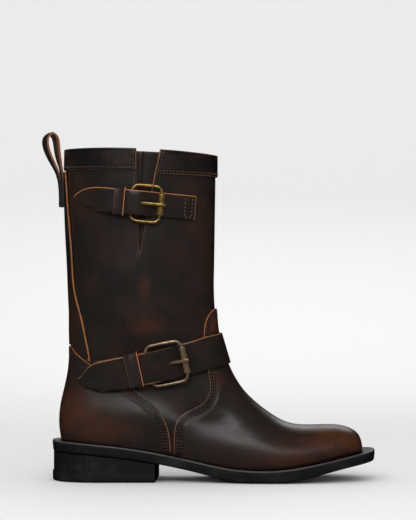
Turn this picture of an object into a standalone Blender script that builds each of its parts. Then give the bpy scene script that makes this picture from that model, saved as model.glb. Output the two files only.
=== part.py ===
"""Engineer-style motorcycle boot for the right foot.

Lengths are in millimetres until a mesh is made, and meshes are in metres. The toe points along +X,
+Z is up, the outer side with the buckles faces -Y, and the boot stands on Z = 0.
"""
import bisect
import math
from collections import namedtuple

import bpy
import bmesh
from mathutils import Vector

MM = 0.001
SIDE_SHIFT = 1.5        # moves the whole boot along +Y, so that its box is centred on the origin

# Wall, panels and clearances
WALL = 2.4              # leather of the upper
PANEL = 1.1             # leather of a sewn-on panel
PANEL_GAP = 0.8         # panel to the wall under it
SEAT_GAP = 0.3          # one flat piece on another
PANEL_TOP = PANEL_GAP + PANEL

# Mesh of the upper: columns round a whole ring, and rows counted in section numbers
COLUMNS = 44
HALF = COLUMNS // 2
ROWS = (
    0, 0.5, 1, 1.5, 2, 2.5, 3, 3.5, 4, 4.5, 5, 5.5, 6, 6.5, 7, 7.5, 8,
    9, 10, 11, 11.5, 12, 13, 14, 15, 16,
)
SHARP_ANGLE = 40.0      # edges sharper than this, in degrees, stay hard in shading

# Side view of the upper. Each section is a ring from a point of the back line to a point of the
# front line. "dip" is how much of the sole's own curve the ring takes up, "fall" how far it drops
# off the ridge over the toes, "bow" lifts its middle.
Section = namedtuple("Section", "back_x back_z front_x front_z dip fall bow")
SECTIONS = (
    Section(-131.0, 36.45, 137.7, 25.93, 1.00, 0.0, 0.0),
    Section(-132.7, 47.0, 136.3, 35.6, 0.96, 2.5, 0.0),
    Section(-132.9, 57.0, 131.4, 42.6, 0.88, 4.5, 0.0),
    Section(-131.7, 68.0, 117.5, 47.3, 0.76, 6.0, 0.0),
    Section(-129.3, 78.5, 97.0, 47.2, 0.62, 6.5, 0.0),
    Section(-126.9, 88.5, 75.5, 48.0, 0.45, 5.0, 0.0),
    Section(-125.0, 97.5, 58.0, 56.1, 0.29, 3.0, 0.0),
    Section(-123.7, 107.0, 43.0, 67.4, 0.17, 1.5, 0.0),
    Section(-123.3, 117.0, 30.0, 79.8, 0.09, 0.6, 0.0),
    Section(-123.5, 128.0, 20.5, 94.0, 0.04, 0.0, 0.0),
    Section(-123.8, 140.0, 13.0, 113.0, 0.01, 0.0, 0.0),
    Section(-123.9, 155.0, 7.9, 134.0, 0.0, 0.0, 0.0),
    Section(-124.4, 178.0, 5.6, 163.0, 0.0, 0.0, 0.0),
    Section(-126.2, 209.0, 5.9, 201.0, 0.0, 0.0, 0.0),
    Section(-127.8, 240.0, 6.4, 233.0, 0.0, 0.0, 0.0),
    Section(-128.2, 277.6, 7.0, 271.6, 0.0, 0.0, 1.0),
    Section(-127.8, 296.2, 7.1, 290.8, 0.0, 0.0, 2.4),
)
LAST_ROW = len(SECTIONS) - 1
FALL_REACH = 0.1        # share of the ring behind its front point where the fall is deepest
TOE_TOP_ROW = 5         # above this section the front line climbs
ANKLE_ROW = 11.6        # above this section the front line is the upright shaft
RIDGE_CLIMB = 8.0       # behind the shin the ridge line goes on this steeply

# Sole in side view: the welt's top line and the tread side of the outsole
Sole = namedtuple("Sole", "x top bottom")
SOLE = (
    Sole(-140, 36.6, 26.2), Sole(-114, 35.2, 24.8), Sole(-88, 32.6, 22.2), Sole(-64, 29.6, 19.2),
    Sole(-44, 26.0, 15.6), Sole(-19, 20.9, 10.6), Sole(-3, 17.0, 6.9), Sole(8, 14.8, 3.4),
    Sole(20, 12.7, 0.0), Sole(38, 11.2, 0.0), Sole(59, 11.3, 0.0), Sole(74, 12.9, 0.0),
    Sole(88, 15.3, 3.4), Sole(105, 18.8, 8.0), Sole(126, 23.6, 13.0), Sole(150, 27.6, 17.4),
)

# Plan of the feather edge: half widths to the outer and to the inner side of the middle line
Plan = namedtuple("Plan", "x outer inner")
PLAN = (
    Plan(-100, 31.0, 31.0), Plan(-60, 31.0, 31.0), Plan(-25, 32.2, 28.8), Plan(15, 37.5, 33.0),
    Plan(45, 43.0, 40.5), Plan(70, 43.5, 43.0), Plan(95, 41.0, 42.5), Plan(115, 37.5, 39.5),
)
TOE_TIP = 137.7
TOE_CAP = 38.0          # length over which the plan closes at the toe
TOE_POWER = 2.6         # over 2 gives a squarer toe
HEEL_CAP = 34.0         # length over which the plan closes at the heel
HEEL_POWER = 2.2
TOE_SWING = 5.0         # the middle line bends to the inner side at the toe
TOE_SWING_FROM = 20.0

# Cross sections
FOOT_SWELL = 4.0        # the foot is widest above the welt
HEEL_SWELL = 2.4        # bulge of the heel, at HEEL_SWELL_Z
HEEL_SWELL_Z = 62.0
HEEL_SWELL_REACH = 30.0
HEEL_SWELL_FADE = 60.0  # the bulge fades over this length from the boot's middle
FEATHER_TUCK = 2.2      # the wall pulls in where it meets the welt
FEATHER_TUCK_HEIGHT = 8.0
FLARE = ((-70, 56), (-33, 49), (-16, 37), (10, 30), (27, 27), (60, 25))     # the wall leans in above, z by x
FLARE_DEPTH = 5.2       # how far it leans in, over the height FLARE_RISE
FLARE_RISE = 25.0
FLARE_BACK = (-128.0, -50.0)        # along x the lean grows between these two
FLARE_FRONT = (0.0, 60.0)           # and fades between these two
ANKLE_FROM = 96.0       # above the ankle the lean fades between these heights
ANKLE_TO = 160.0
TOE_CROWN = 2.5         # power of the arch over the toes, flatter on top
INSTEP_CROWN = 2.05     # power of the arch over the instep
SHAFT_POWER = 2.15
SHAFT_FROM = 85.0       # the foot's sections turn into the shaft's between these heights
SHAFT_TO = 150.0
SHAFT_HALF = ((85, 38.0), (110, 39.5), (150, 42.0), (200, 44.5), (250, 46.0), (297, 47.0))

# Slit in the outer side of the shaft, by height: its rear and its front edge
Slit = namedtuple("Slit", "z rear front")
SLIT = (Slit(207, -60.7, -59.8), Slit(224, -61.4, -56.4), Slit(265, -63.2, -48.9), Slit(298, -63.2, -41.6))
SLIT_ROW = 13           # section at the foot of the slit
SLIT_COLUMN = 10        # the slit lies between this column and the next
SLIT_FADE = 165.0       # below this height the columns are evenly spread again

# Panel edges in side view, x by height
PANEL_FOOT_ROW = 0.1    # panels begin just above the welt
VAMP_EDGE = (
    (18, -29.6), (37, -30.0), (47, -29.6), (54.4, -27.9), (60.7, -22.1), (65, -13.5), (69.4, -4.9),
    (77.8, 0.4), (85.3, 2.0), (98.7, 0.0), (127.2, -4.0), (138, -3.9), (145.2, -3.2), (149, -0.8),
    (154.5, 5.4),
)
VAMP_ROWS = (PANEL_FOOT_ROW,) + ROWS[1:20] + (11.25, 11.5, 11.62, 11.7)
VAMP_COLUMNS = 13
VAMP_CROWD = 1.12       # columns stand closer together towards the toe
COUNTER_EDGE = (
    (20, -32.6), (39, -33.9), (47.6, -35.5), (56.2, -39.3), (64.7, -44.6), (72.3, -52.2), (79.2, -60.7),
    (104.4, -103.7), (115, -117.3), (121, -121.5),
)
COUNTER_ROWS = (PANEL_FOOT_ROW,) + ROWS[1:13] + (6.25, 6.5, 6.75, 7, 7.25, 7.5, 7.75, 8, 8.3)
COUNTER_COLUMNS = 7
STAY_EDGE = (
    (100, -102.6), (113, -104.6), (126, -107.4), (140, -110.5), (156, -114.9), (172, -118.6), (199, -120.1),
    (218, -121.2), (236, -123.3), (255, -125.2), (280, -126.4),
)
STAY_ROWS = (9, 10, 11, 12, 13, 14)
STAY_TOP_Z = 276.6
STAY_COLUMNS = 6
STAY_FOOT_GAP = 0.8     # the stay ends this far above the counter
STAY_ROW_STEP = 0.12    # least step between the stay's rows, in section numbers
BAND_REAR = ((-128, 277.8), (-63, 276.8))
BAND_FRONT = ((-48, 273.9), (7, 271.7))
BAND_INNER = ((-128, 277.8), (7, 271.7))

# Sole edge, heel and insole
WELT_REACH = (          # beyond the feather edge, by the share of the length from heel to toe
    (0.0, 9.4), (0.12, 6.6), (0.3, 5.6), (0.45, 5.2), (0.6, 6.0), (0.8, 7.4), (0.95, 10.6), (1.0, 13.2),
)
WELT_INSET = 5.0
WELT_THICK = 5.0
TREAD_EDGE = 1.2        # rounding of the outsole's lower edge
OUTSOLE_INSET = 0.3
INSOLE_TOP = 0.2        # above the welt's top line
BREAST_OUTER = -47.0    # front face of the heel, at its two sides
BREAST_INNER = -44.5
HEEL_INSET = 1.0
LIFT_TOP = 8.5
LIFT_EDGE = 1.0
HEEL_STEPS = 8

# Gusset: a strip behind the slit with one pleat. "across" is a share of the slit's width, "margin" a
# length beyond it, "depth" how far the strip lies inside its seat on the wall.
Pleat = namedtuple("Pleat", "across margin depth")
PLEATS = (
    Pleat(0, -9, 0.0), Pleat(0, -0.5, 0.2), Pleat(0.14, 0, 1.3), Pleat(0.26, 0, 1.2), Pleat(0.34, 0, -0.7),
    Pleat(0.62, 0, -0.9), Pleat(1, 0.5, 0.0), Pleat(1, 9, 0.0),
)
GUSSET_ROWS = (12.6, 13, 13.5, 14, 14.6, 15.2, 15.8)

# Buckle hardware
WIRE = 1.5              # radius of a buckle's wire
ROLLER_BORE = 1.9
ROLLER_OUT = 2.9
CHAPE = 1.5
FOLD_BORE = WIRE + 0.55
FOLD_OUT = FOLD_BORE + CHAPE
HINGE_RISE = FOLD_OUT   # the hinge bar's middle above the chape's underside
PRONG_HALF = 1.3        # half the prong's width
PRONG_THICK = 2.0
PRONG_TIP = 3.2         # the prong reaches this far past the roller's middle
CURL_BORE = WIRE + 0.3  # the prong's eye round the hinge bar
CURL = 1.3
SLOT_HALF = 1.8         # half the width of a prong's slot in the leather
WIRE_TURNS = 4          # steps in a frame's corner
ROLLER_SIDES = 12

# A strap in side view: its middle line, where its hinge bar lies, its reach and its layers.
# Distances along a strap are counted from the hinge bar, forwards.
Strap = namedtuple("Strap", "name z0 slope hinge_x width thick u_from u_to floor")
TOP = Strap("top", 248.5, -0.0945, -68.0, 21.5, 2.0, 0.07, 0.46, 0.45)
INSTEP = Strap("instep", 103.3, 0.214, -53.6, 28.0, 2.2, 0.07, 0.80, PANEL_TOP + 0.5)
Buckle = namedtuple("Buckle", "length height corner roller keeper_from keeper_to chape_end hole_from hole_to")
TOP_BUCKLE = Buckle(25.6, 32.0, 6.0, 19.0, -14.2, -5.0, -34.0, 8.8, 14.8)
INSTEP_BUCKLE = Buckle(32.5, 37.0, 6.5, 23.5, -20.3, -7.2, -46.0, 18.8, 24.4)
Sewn = namedtuple("Sewn", "end pitch")
TOP_SEWN = Sewn(57.7, 8.0)          # where the strap ends, and the step of its mesh up to there
INSTEP_SEWN = Sewn(186.0, 6.5)
Tail = namedtuple("Tail", "along up down")
TOP_TAIL = (
    Tail(-54.5, 1.2, 0.6), Tail(-51, 4.2, 2.2), Tail(-45, 7.6, 4.8), Tail(-36, 10.2, 7.6),
    Tail(-28, 10.75, 9.6), Tail(-20, 10.75, 10.75),
)
INSTEP_TAIL = (
    Tail(-61.6, 0.8, 1.8), Tail(-58.6, 3.2, 5.0), Tail(-54, 7.6, 8.4), Tail(-50, 11.2, 10.4),
    Tail(-44, 12.8, 12.6), Tail(-36, 13.4, 13.8), Tail(-22, 14.0, 14.0),
)

# How high a strap's underside runs: on the wall, on the chape, over the hinge, then down to the
# roller. The prong's middle line climbs from the hinge bar through the strap.
Layer = namedtuple("Layer", "along rise")
OVER_HINGE = 2 * FOLD_OUT + SEAT_GAP
OVER_CHAPE = 2 * CHAPE + 2 * SEAT_GAP
CHAPE_RAMP = 10.0       # the strap climbs on the chape's end over this length
CHAPE_STEP = 2.1
TOP_DIVE = (
    Layer(5, 7.3), Layer(9, 6.6), Layer(12, 5.2), Layer(15, 3.2), Layer(18.5, 1.1), Layer(21.6, 0.0),
)
INSTEP_DIVE = (
    Layer(6, 7.5), Layer(12, 7.4), Layer(18, 6.8), Layer(22, 5.0), Layer(25, 2.8), Layer(28.5, 0.0),
)
TOP_PRONG = (Layer(3.0, 5.5), Layer(7.5, 5.0), Layer(11, 5.8), Layer(15, 7.3))
INSTEP_PRONG = (Layer(3.0, 5.5), Layer(9, 4.9), Layer(17, 4.5), Layer(21.5, 5.9), Layer(25.5, 7.6))
HINGE_MARKS = (-15, -11, -8, -5, -2.5, 0, 2.5)
HOLE_STEP = 3.5         # step of the strap's mesh between the hinge and the hole
DIVE_STEPS = 3
STIFF_FROM = -20.0      # a strap is kept from twisting from here to a little past its roller
STIFF_PAST = 6.0
STIFF_FADE = 18.0
ROUTE_STEPS = 200

# Keeper: a leather loop over a strap's tail
KEEPER = 1.4
KEEPER_SIDE_GAP = 0.5
KEEPER_FOOT = 0.9       # height of its two feet above the strap's seat
KEEPER_SOFT = 1.0       # rounding of its inside corners

# Pull loop: a strip's middle line behind the back of the shaft. "away" is its distance from the
# wall, "turn" how far its two edges are twisted out of square, in degrees.
Loop = namedtuple("Loop", "away z turn")
PULL_LOOP = (
    Loop(3.4, 246, 0), Loop(3.4, 257, 0), Loop(3.4, 267, 0), Loop(4.4, 275, 3), Loop(6.0, 284, 10),
    Loop(8.0, 295, 13), Loop(8.6, 304, 14), Loop(10.4, 309.4, 14), Loop(14.0, 311.4, 14),
    Loop(17.9, 309.0, 14), Loop(19.2, 303.5, 14), Loop(16.9, 294, 13), Loop(10.7, 281, 10),
    Loop(6.9, 272, 4), Loop(5.5, 261, 0), Loop(5.5, 245, 0),
)
LOOP_WIDTH = 25.0
LOOP_THICK = 1.8
LOOP_FREE_FROM = 272.0  # the strip leaves the round back of the shaft between these heights
LOOP_FREE_TO = 290.0
LOOP_ACROSS = 4

# Colour, roughness and metallic value of each kind of surface
Finish = namedtuple("Finish", "colour roughness metallic")
LEATHER = Finish((0.045, 0.026, 0.018), 0.38, 0.0)
STRAP_LEATHER = Finish((0.050, 0.028, 0.019), 0.42, 0.0)
BLACK_SOLE = Finish((0.012, 0.012, 0.013), 0.45, 0.0)
TAN_LEATHER = Finish((0.30, 0.16, 0.08), 0.65, 0.0)
OLD_BRASS = Finish((0.36, 0.25, 0.12), 0.38, 1.0)


# Curves and tables

def smooth(table, x, column=1):
    """Monotone cubic through the rows (position in column 0), held level beyond both ends."""
    if x <= table[0][0]:
        return table[0][column]
    if x >= table[-1][0]:
        return table[-1][column]
    k = bisect.bisect_right([row[0] for row in table], x) - 1

    def slope(i):
        if i < 0 or i > len(table) - 2:
            return None
        return (table[i + 1][column] - table[i][column]) / (table[i + 1][0] - table[i][0])

    def tangent(i):
        before, after = slope(i - 1), slope(i)
        if before is None or after is None:
            return after if before is None else before
        if before * after <= 0:
            return 0.0
        return 2 * before * after / (before + after)

    span = table[k + 1][0] - table[k][0]
    f = (x - table[k][0]) / span
    start, end = table[k][column], table[k + 1][column]
    rise = (2 * f ** 3 - 3 * f ** 2 + 1) * start + (3 * f ** 2 - 2 * f ** 3) * end
    return rise + span * ((f ** 3 - 2 * f ** 2 + f) * tangent(k) + (f ** 3 - f ** 2) * tangent(k + 1))


def straight(table, x):
    """Straight lines through sorted (position, value) rows, held level beyond both ends."""
    if x <= table[0][0]:
        return table[0][1]
    if x >= table[-1][0]:
        return table[-1][1]
    k = bisect.bisect_right([row[0] for row in table], x) - 1
    f = (x - table[k][0]) / (table[k + 1][0] - table[k][0])
    return table[k][1] + f * (table[k + 1][1] - table[k][1])


def ease(f):
    f = min(max(f, 0.0), 1.0)
    return f * f * (3 - 2 * f)


def mix(a, b, f):
    return a + (b - a) * f


def solve(wanted, low, high):
    """The place between low and high where a rising function turns positive."""
    for _ in range(40):
        middle = (low + high) / 2
        if wanted(middle) > 0:
            high = middle
        else:
            low = middle
    return (low + high) / 2


# The last: section rings and the half-width field

def section(row):
    """The section at a fractional row number, on a smooth curve through the table."""
    row = min(max(row, 0), LAST_ROW)
    k = min(int(row), LAST_ROW - 1)
    f = row - k
    before, start = SECTIONS[max(k - 1, 0)], SECTIONS[k]
    end, after = SECTIONS[k + 1], SECTIONS[min(k + 2, LAST_ROW)]

    def through(a, b, c, d):
        turn = 2 * a - 5 * b + 4 * c - d
        return 0.5 * (2 * b + (c - a) * f + turn * f ** 2 + (3 * (b - c) + d - a) * f ** 3)

    return Section(*map(through, before, start, end, after))


FINE = [(k / 20, section(k / 20)) for k in range(20 * LAST_ROW + 1)]
BACK_LINE = [(s.back_z, s.back_x) for _, s in FINE]
SHIN_LINE = [(s.front_z, s.front_x) for row, s in FINE if row >= TOE_TOP_ROW]
RIDGE_LINE = sorted((s.front_x, s.front_z) for row, s in FINE if row <= ANKLE_ROW)


def sole_top(x):
    return smooth(SOLE, x, 1)


def sole_bottom(x):
    return smooth(SOLE, x, 2)


def ridge(x):
    first_x, first_z = RIDGE_LINE[0]
    if x < first_x:
        return first_z + RIDGE_CLIMB * (first_x - x)
    return straight(RIDGE_LINE, x)


def round_end(distance, length, power):
    """1 in the middle of a form, falling to 0 at its round end."""
    f = 1 - min(max(distance / length, 0.0), 1.0)
    return max(1 - f ** power, 0.0) ** (1 / power)


def plan_half(x, outer_side):
    half = smooth(PLAN, x, 1 if outer_side else 2)
    toe = round_end(TOE_TIP - x, TOE_CAP, TOE_POWER)
    return half * toe


def middle_y(x):
    return TOE_SWING * ease((x - TOE_SWING_FROM) / (TOE_TIP - TOE_SWING_FROM))


def foot_half(x, z, outer_side):
    floor = sole_top(x)
    height = min(max((z - floor) / max(ridge(x) - floor, 0.5), 0.0), 1.0)
    crown = mix(INSTEP_CROWN, TOE_CROWN, ease(x / TOE_TIP))
    arch = max(1 - height ** crown, 0.0) ** (1 / crown)
    heel = max(1 - ((z - HEEL_SWELL_Z) / HEEL_SWELL_REACH) ** 2, 0.0) ** 2 * ease(-x / HEEL_SWELL_FADE)
    swell = 4 * FOOT_SWELL * height * (1 - height) + HEEL_SWELL * heel
    tuck = FEATHER_TUCK * max(1 - (z - floor) / FEATHER_TUCK_HEIGHT, 0.0) ** 2
    rear = round_end(x - straight(BACK_LINE, z), HEEL_CAP, HEEL_POWER)
    widest = plan_half(x, outer_side)
    return (widest + swell - tuck * min(widest / HEEL_CAP, 1.0)) * arch * rear if widest > 0 else 0.0


def shaft_half(x, z):
    back, front = straight(BACK_LINE, z), straight(SHIN_LINE, z)
    off = min(abs(2 * x - back - front) / (front - back), 1.0)
    return smooth(SHAFT_HALF, z) * (1 - off ** SHAFT_POWER) ** (1 / SHAFT_POWER)


def lean(x, z):
    """How far the wall leans in between the foot's sides and the ankle."""
    along = ease((x - FLARE_BACK[0]) / (FLARE_BACK[1] - FLARE_BACK[0]))
    along *= 1 - ease((x - FLARE_FRONT[0]) / (FLARE_FRONT[1] - FLARE_FRONT[0]))
    up = ease((z - smooth(FLARE, x)) / FLARE_RISE) * (1 - ease((z - ANKLE_FROM) / (ANKLE_TO - ANKLE_FROM)))
    return FLARE_DEPTH * along * up


def half_width(x, z, outer_side):
    share = ease((z - SHAFT_FROM) / (SHAFT_TO - SHAFT_FROM))
    width = 0.0
    if share < 1:
        width += (1 - share) * foot_half(x, z, outer_side)
    if share > 0:
        width += share * shaft_half(x, z)
    return width * (1 - lean(x, z) / smooth(SHAFT_HALF, z))


def sole_dip(t):
    """How far the welt's top line runs below the straight line from heel to toe."""
    feather = SECTIONS[0]
    x = mix(feather.back_x, feather.front_x, t)
    return sole_top(x) - mix(sole_top(feather.back_x), sole_top(feather.front_x), t)


def side_view(u, row):
    s = section(row)
    t = (1 - math.cos(2 * math.pi * u)) / 2
    x = mix(s.back_x, s.front_x, t)
    behind = (1 - t) / FALL_REACH
    fall = s.fall * behind * math.exp(1 - behind)
    z = mix(s.back_z, s.front_z, t) + s.dip * sole_dip(t) - fall + s.bow * 4 * t * (1 - t)
    return x, z, t


def skin(u, row):
    """A point on the outside of the upper. u runs round from the back (0), over the outer side,
    to the front (0.5), and back over the inner side (1)."""
    u = u % 1.0
    x, z, t = side_view(u, row)
    outer_side = u < 0.5
    half = half_width(x, z, outer_side) if 1e-9 < t < 1 - 1e-9 else 0.0
    return Vector((x, middle_y(x) + (-half if outer_side else half), z))


def outward(u, row):
    step_u, step_row = 0.002, 0.05
    low, high = max(row - step_row, 0), min(row + step_row, LAST_ROW)
    around = skin(u + step_u, row) - skin(u - step_u, row)
    up = skin(u, high) - skin(u, low)
    return around.cross(up).normalized()


def u_at_x(x, row):
    """The place on the outer side where the ring passes x."""
    s = section(row)
    t = min(max((x - s.back_x) / (s.front_x - s.back_x), 0.0), 1.0)
    return math.acos(1 - 2 * t) / (2 * math.pi)


def u_at_edge(edge, row, low=0.0, high=0.5):
    """The place on the outer side where a ring crosses a panel's edge."""
    def past(u):
        x, z, _ = side_view(u, row)
        return x - smooth(edge, z)
    return solve(past, low, high)


def row_at(u, height_of_x, low=0.0, high=LAST_ROW):
    """The row at which the column u reaches the height that belongs to its x."""
    def above(row):
        x, z, _ = side_view(u, row)
        return z - height_of_x(x)
    return solve(above, low, high)


def column_u(column, row):
    """Columns of the upper's mesh: even, but two of them follow the slit's edges."""
    even = column / COLUMNS
    if column == 0 or column >= HALF:
        return even
    z = side_view(0.25, row)[1]
    pull = ease((z - SLIT_FADE) / (SLIT[0].z - SLIT_FADE))
    if pull == 0:
        return even
    rear_even, front_even = SLIT_COLUMN / COLUMNS, (SLIT_COLUMN + 1) / COLUMNS
    rear = mix(rear_even, u_at_x(smooth(SLIT, z, 1), row), pull)
    front = mix(front_even, u_at_x(smooth(SLIT, z, 2), row), pull)
    if column <= SLIT_COLUMN:
        return even * rear / rear_even
    return 0.5 - (0.5 - even) * (0.5 - front) / (0.5 - front_even)


# Meshes

def finish_material(name, finish):
    material = bpy.data.materials.new(name + "_finish")
    material.use_nodes = True
    shader = material.node_tree.nodes["Principled BSDF"]
    shader.inputs["Base Color"].default_value = (*finish.colour, 1.0)
    shader.inputs["Roughness"].default_value = finish.roughness
    shader.inputs["Metallic"].default_value = finish.metallic
    return material


def make_object(name, points, faces, finish):
    """A named object from points in millimetres, with its faces turned outwards."""
    shape = bmesh.new()
    corners = [shape.verts.new((p[0] * MM, (p[1] + SIDE_SHIFT) * MM, p[2] * MM)) for p in points]
    for face in faces:
        shape.faces.new([corners[i] for i in face])
    loose = [v for v in shape.verts if not v.link_faces]
    bmesh.ops.delete(shape, geom=loose, context="VERTS")
    bmesh.ops.recalc_face_normals(shape, faces=shape.faces)
    mesh = bpy.data.meshes.new(name)
    shape.to_mesh(mesh)
    shape.free()
    mesh.shade_smooth()
    mesh.set_sharp_from_angle(angle=math.radians(SHARP_ANGLE))
    mesh.materials.append(finish_material(name, finish))
    piece = bpy.data.objects.new(name, mesh)
    bpy.context.scene.collection.objects.link(piece)
    return piece


def grid_faces(rows, columns, wrap=False, left_out=()):
    """Quads of a sheet whose points are listed row by row."""
    faces = []
    for r in range(rows - 1):
        for c in range(columns if wrap else columns - 1):
            if (r, c) not in left_out:
                after = (c + 1) % columns
                low, high = r * columns, (r + 1) * columns
                faces.append((low + c, low + after, high + after, high + c))
    return faces


def shell(name, outer, inner, finish, wrap=False, left_out=()):
    """A closed solid between two sheets of rows of points, joined along every free edge."""
    rows, columns = len(outer), len(outer[0])
    faces = grid_faces(rows, columns, wrap, left_out)
    edges = {}
    for face in faces:
        for a, b in zip(face, face[1:] + face[:1]):
            edges[(a, b)] = face
    count = rows * columns
    rim = [(b, a, a + count, b + count) for a, b in edges if (b, a) not in edges]
    under = [tuple(i + count for i in reversed(face)) for face in faces]
    points = [p for row in outer for p in row] + [p for row in inner for p in row]
    return make_object(name, points, faces + under + rim, finish)


def over_welt(point):
    """The point itself, or a point just above the welt where it would lie lower."""
    return Vector((point.x, point.y, max(point.z, sole_top(point.x) + 2 * SEAT_GAP)))


def panel(name, places, finish, base=PANEL_GAP, thick=PANEL):
    """A leather panel on the upper, from rows of (u, row) places."""
    def sheet(distance):
        return [[over_welt(skin(u, row) + outward(u, row) * distance) for u, row in line] for line in places]

    return shell(name, sheet(base + thick), sheet(base), finish)


def cap_faces(left, right):
    """Faces across a form, between the points of its left and of its right side."""
    faces = []
    for k in range(len(left) - 1):
        face = []
        for corner in (left[k], left[k + 1], right[k + 1], right[k]):
            if corner not in face:
                face.append(corner)
        faces.append(tuple(face))
    return faces


def plate(name, loops, left, right, finish):
    """A closed solid from loops, lowest first. left and right pair the points for both ends."""
    count = len(loops[0])
    points = [p for loop in loops for p in loop]
    faces = grid_faces(len(loops), count, wrap=True)
    top = (len(loops) - 1) * count
    faces += [tuple(reversed(face)) for face in cap_faces(left, right)]
    faces += cap_faces([top + i for i in left], [top + i for i in right])
    return make_object(name, points, faces, finish)


# Upper and its panels

def make_upper():
    outer, inner = [], []
    for row in ROWS:
        places = [(column_u(c, row), row) for c in range(COLUMNS)]
        out_row = [skin(u, r) for u, r in places]
        in_row = [p - outward(u, r) * WALL for p, (u, r) in zip(out_row, places)]
        for out_point, in_point in zip(out_row, in_row):
            if row == 0:
                in_point.z = sole_top(in_point.x) + SEAT_GAP
            if row == LAST_ROW:
                in_point.z = out_point.z
        outer.append(out_row)
        inner.append(in_row)
    slit = {(r, SLIT_COLUMN) for r, row in enumerate(ROWS) if row >= SLIT_ROW}
    return shell("upper", outer, inner, LEATHER, wrap=True, left_out=slit)


def make_vamp():
    spread = [1 - (1 - k / VAMP_COLUMNS) ** VAMP_CROWD for k in range(VAMP_COLUMNS)]
    places = []
    for row in VAMP_ROWS:
        edge = u_at_edge(VAMP_EDGE, row, 0.15)
        side = [(mix(edge, 0.5, f), row) for f in spread]
        places.append(side + [(0.5, row)] + [(1 - u, r) for u, r in reversed(side)])
    return panel("vamp", places, LEATHER)


def make_heel_counter():
    places = []
    for row in COUNTER_ROWS:
        edge = u_at_edge(COUNTER_EDGE, row)
        side = [(edge * k / COUNTER_COLUMNS, row) for k in range(1, COUNTER_COLUMNS + 1)]
        places.append([(1 - u, r) for u, r in reversed(side)] + [(0.0, row)] + side)
    return panel("heel_counter", places, LEATHER)


def make_back_stay():
    def counter_top(x):
        return straight([(e[1], e[0]) for e in reversed(COUNTER_EDGE)], x)

    places = [[] for _ in range(len(STAY_ROWS) + 2)]
    for k in range(-STAY_COLUMNS, STAY_COLUMNS + 1):
        share = abs(k) / STAY_COLUMNS

        def at(row):
            u = share * u_at_edge(STAY_EDGE, row)
            return u if k >= 0 else 1 - u

        def above_counter(row):
            x, z, _ = side_view(at(row), row)
            return z - STAY_FOOT_GAP - max(counter_top(x), 0)

        foot = solve(above_counter, 6, 9.5)
        head = solve(lambda row: side_view(at(row), row)[1] - STAY_TOP_Z, SLIT_ROW, LAST_ROW)
        rows = [foot] + [max(row, foot + STAY_ROW_STEP * (i + 1)) for i, row in enumerate(STAY_ROWS)] + [head]
        for line, row in zip(places, rows):
            line.append((at(row) % 1.0, row))
    return panel("back_stay", places, LEATHER)


def make_collar_band():
    slit_rear, slit_front = SLIT_COLUMN, SLIT_COLUMN + 1
    columns = list(range(slit_front, COLUMNS)) + list(range(0, slit_rear + 1))
    lower, middle, upper = [], [], []
    for c in columns:
        table = BAND_INNER if c > HALF else (BAND_REAR if c <= slit_rear else BAND_FRONT)
        low = row_at(column_u(c, LAST_ROW - 1), lambda x: straight(table, x), 12)
        half_up = (low + LAST_ROW) / 2
        for line, row in ((lower, low), (middle, half_up), (upper, LAST_ROW)):
            line.append((column_u(c, row), row))
    return panel("collar_band", [lower, middle, upper], LEATHER)


def make_gusset():
    inner, outer = [], []
    for row in GUSSET_ROWS:
        z = side_view(0.25, row)[1]
        rear, front = smooth(SLIT, z, 1), smooth(SLIT, z, 2)
        opening = (front - rear) / (SLIT[-1].front - SLIT[-1].rear)
        in_line, out_line = [], []
        for pleat in PLEATS:
            u = u_at_x(mix(rear, front, pleat.across) + pleat.margin, row)
            depth = WALL + PANEL_GAP + pleat.depth * min(opening, 1.0)
            out_line.append(skin(u, row) - outward(u, row) * depth)
            in_line.append(skin(u, row) - outward(u, row) * (depth + PANEL))
        inner.append(in_line)
        outer.append(out_line)
    return shell("gusset", outer, inner, LEATHER)


def make_pull_loop():
    def back_x(y, z):
        """The wall's back surface at height z, where the ring is y wide on one side."""
        return solve(lambda x: half_width(x, z, True) - abs(y), straight(BACK_LINE, z), -70)

    middle = []
    for k in range(len(PULL_LOOP)):
        before, after = PULL_LOOP[max(k - 1, 0)], PULL_LOOP[min(k + 1, len(PULL_LOOP) - 1)]
        along = Vector((before.away - after.away, 0, after.z - before.z)).normalized()
        middle.append((PULL_LOOP[k], Vector((-along.z, 0, along.x))))
    sheets = []
    for side in (-1, 1):
        rows = []
        for stop, out in middle:
            wall_z = min(stop.z, SECTIONS[-1].back_z)
            hug = 1 - ease((stop.z - LOOP_FREE_FROM) / (LOOP_FREE_TO - LOOP_FREE_FROM))
            row = []
            for k in range(LOOP_ACROSS + 1):
                y = LOOP_WIDTH * (k / LOOP_ACROSS - 0.5)
                flat = straight(BACK_LINE, wall_z)
                x = mix(flat, back_x(y, wall_z), hug) - stop.away - y * math.tan(math.radians(stop.turn))
                row.append(Vector((x, y, stop.z)) + out * (side * LOOP_THICK / 2))
            rows.append(row)
        sheets.append(rows)
    return shell("pull_loop", sheets[1], sheets[0], STRAP_LEATHER)


# Sole, heel and insole

def plan_point(u):
    """The feather edge in plan, before the wall tucks in."""
    x, _, t = side_view(u, 0)
    outer_side = u % 1.0 < 0.5
    rear = round_end(x - SECTIONS[0].back_x, HEEL_CAP, HEEL_POWER)
    half = plan_half(x, outer_side) * rear if 1e-9 < t < 1 - 1e-9 else 0.0
    return Vector((x, middle_y(x) + (-half if outer_side else half), 0))


def outline(u, inset):
    """The sole's edge at u, moved in by inset."""
    step = 0.003
    along = (plan_point(u + step) - plan_point(u - step)).normalized()
    t = (1 - math.cos(2 * math.pi * u)) / 2
    return plan_point(u) + Vector((along.y, -along.x, 0)) * (smooth(WELT_REACH, t) - inset)


def inside(u, distance):
    """The feather edge at u, moved in by a distance."""
    t = (1 - math.cos(2 * math.pi * u)) / 2
    return outline(u, smooth(WELT_REACH, t) + distance)


def raised(point, z):
    return Vector((point.x, point.y, z))


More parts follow.
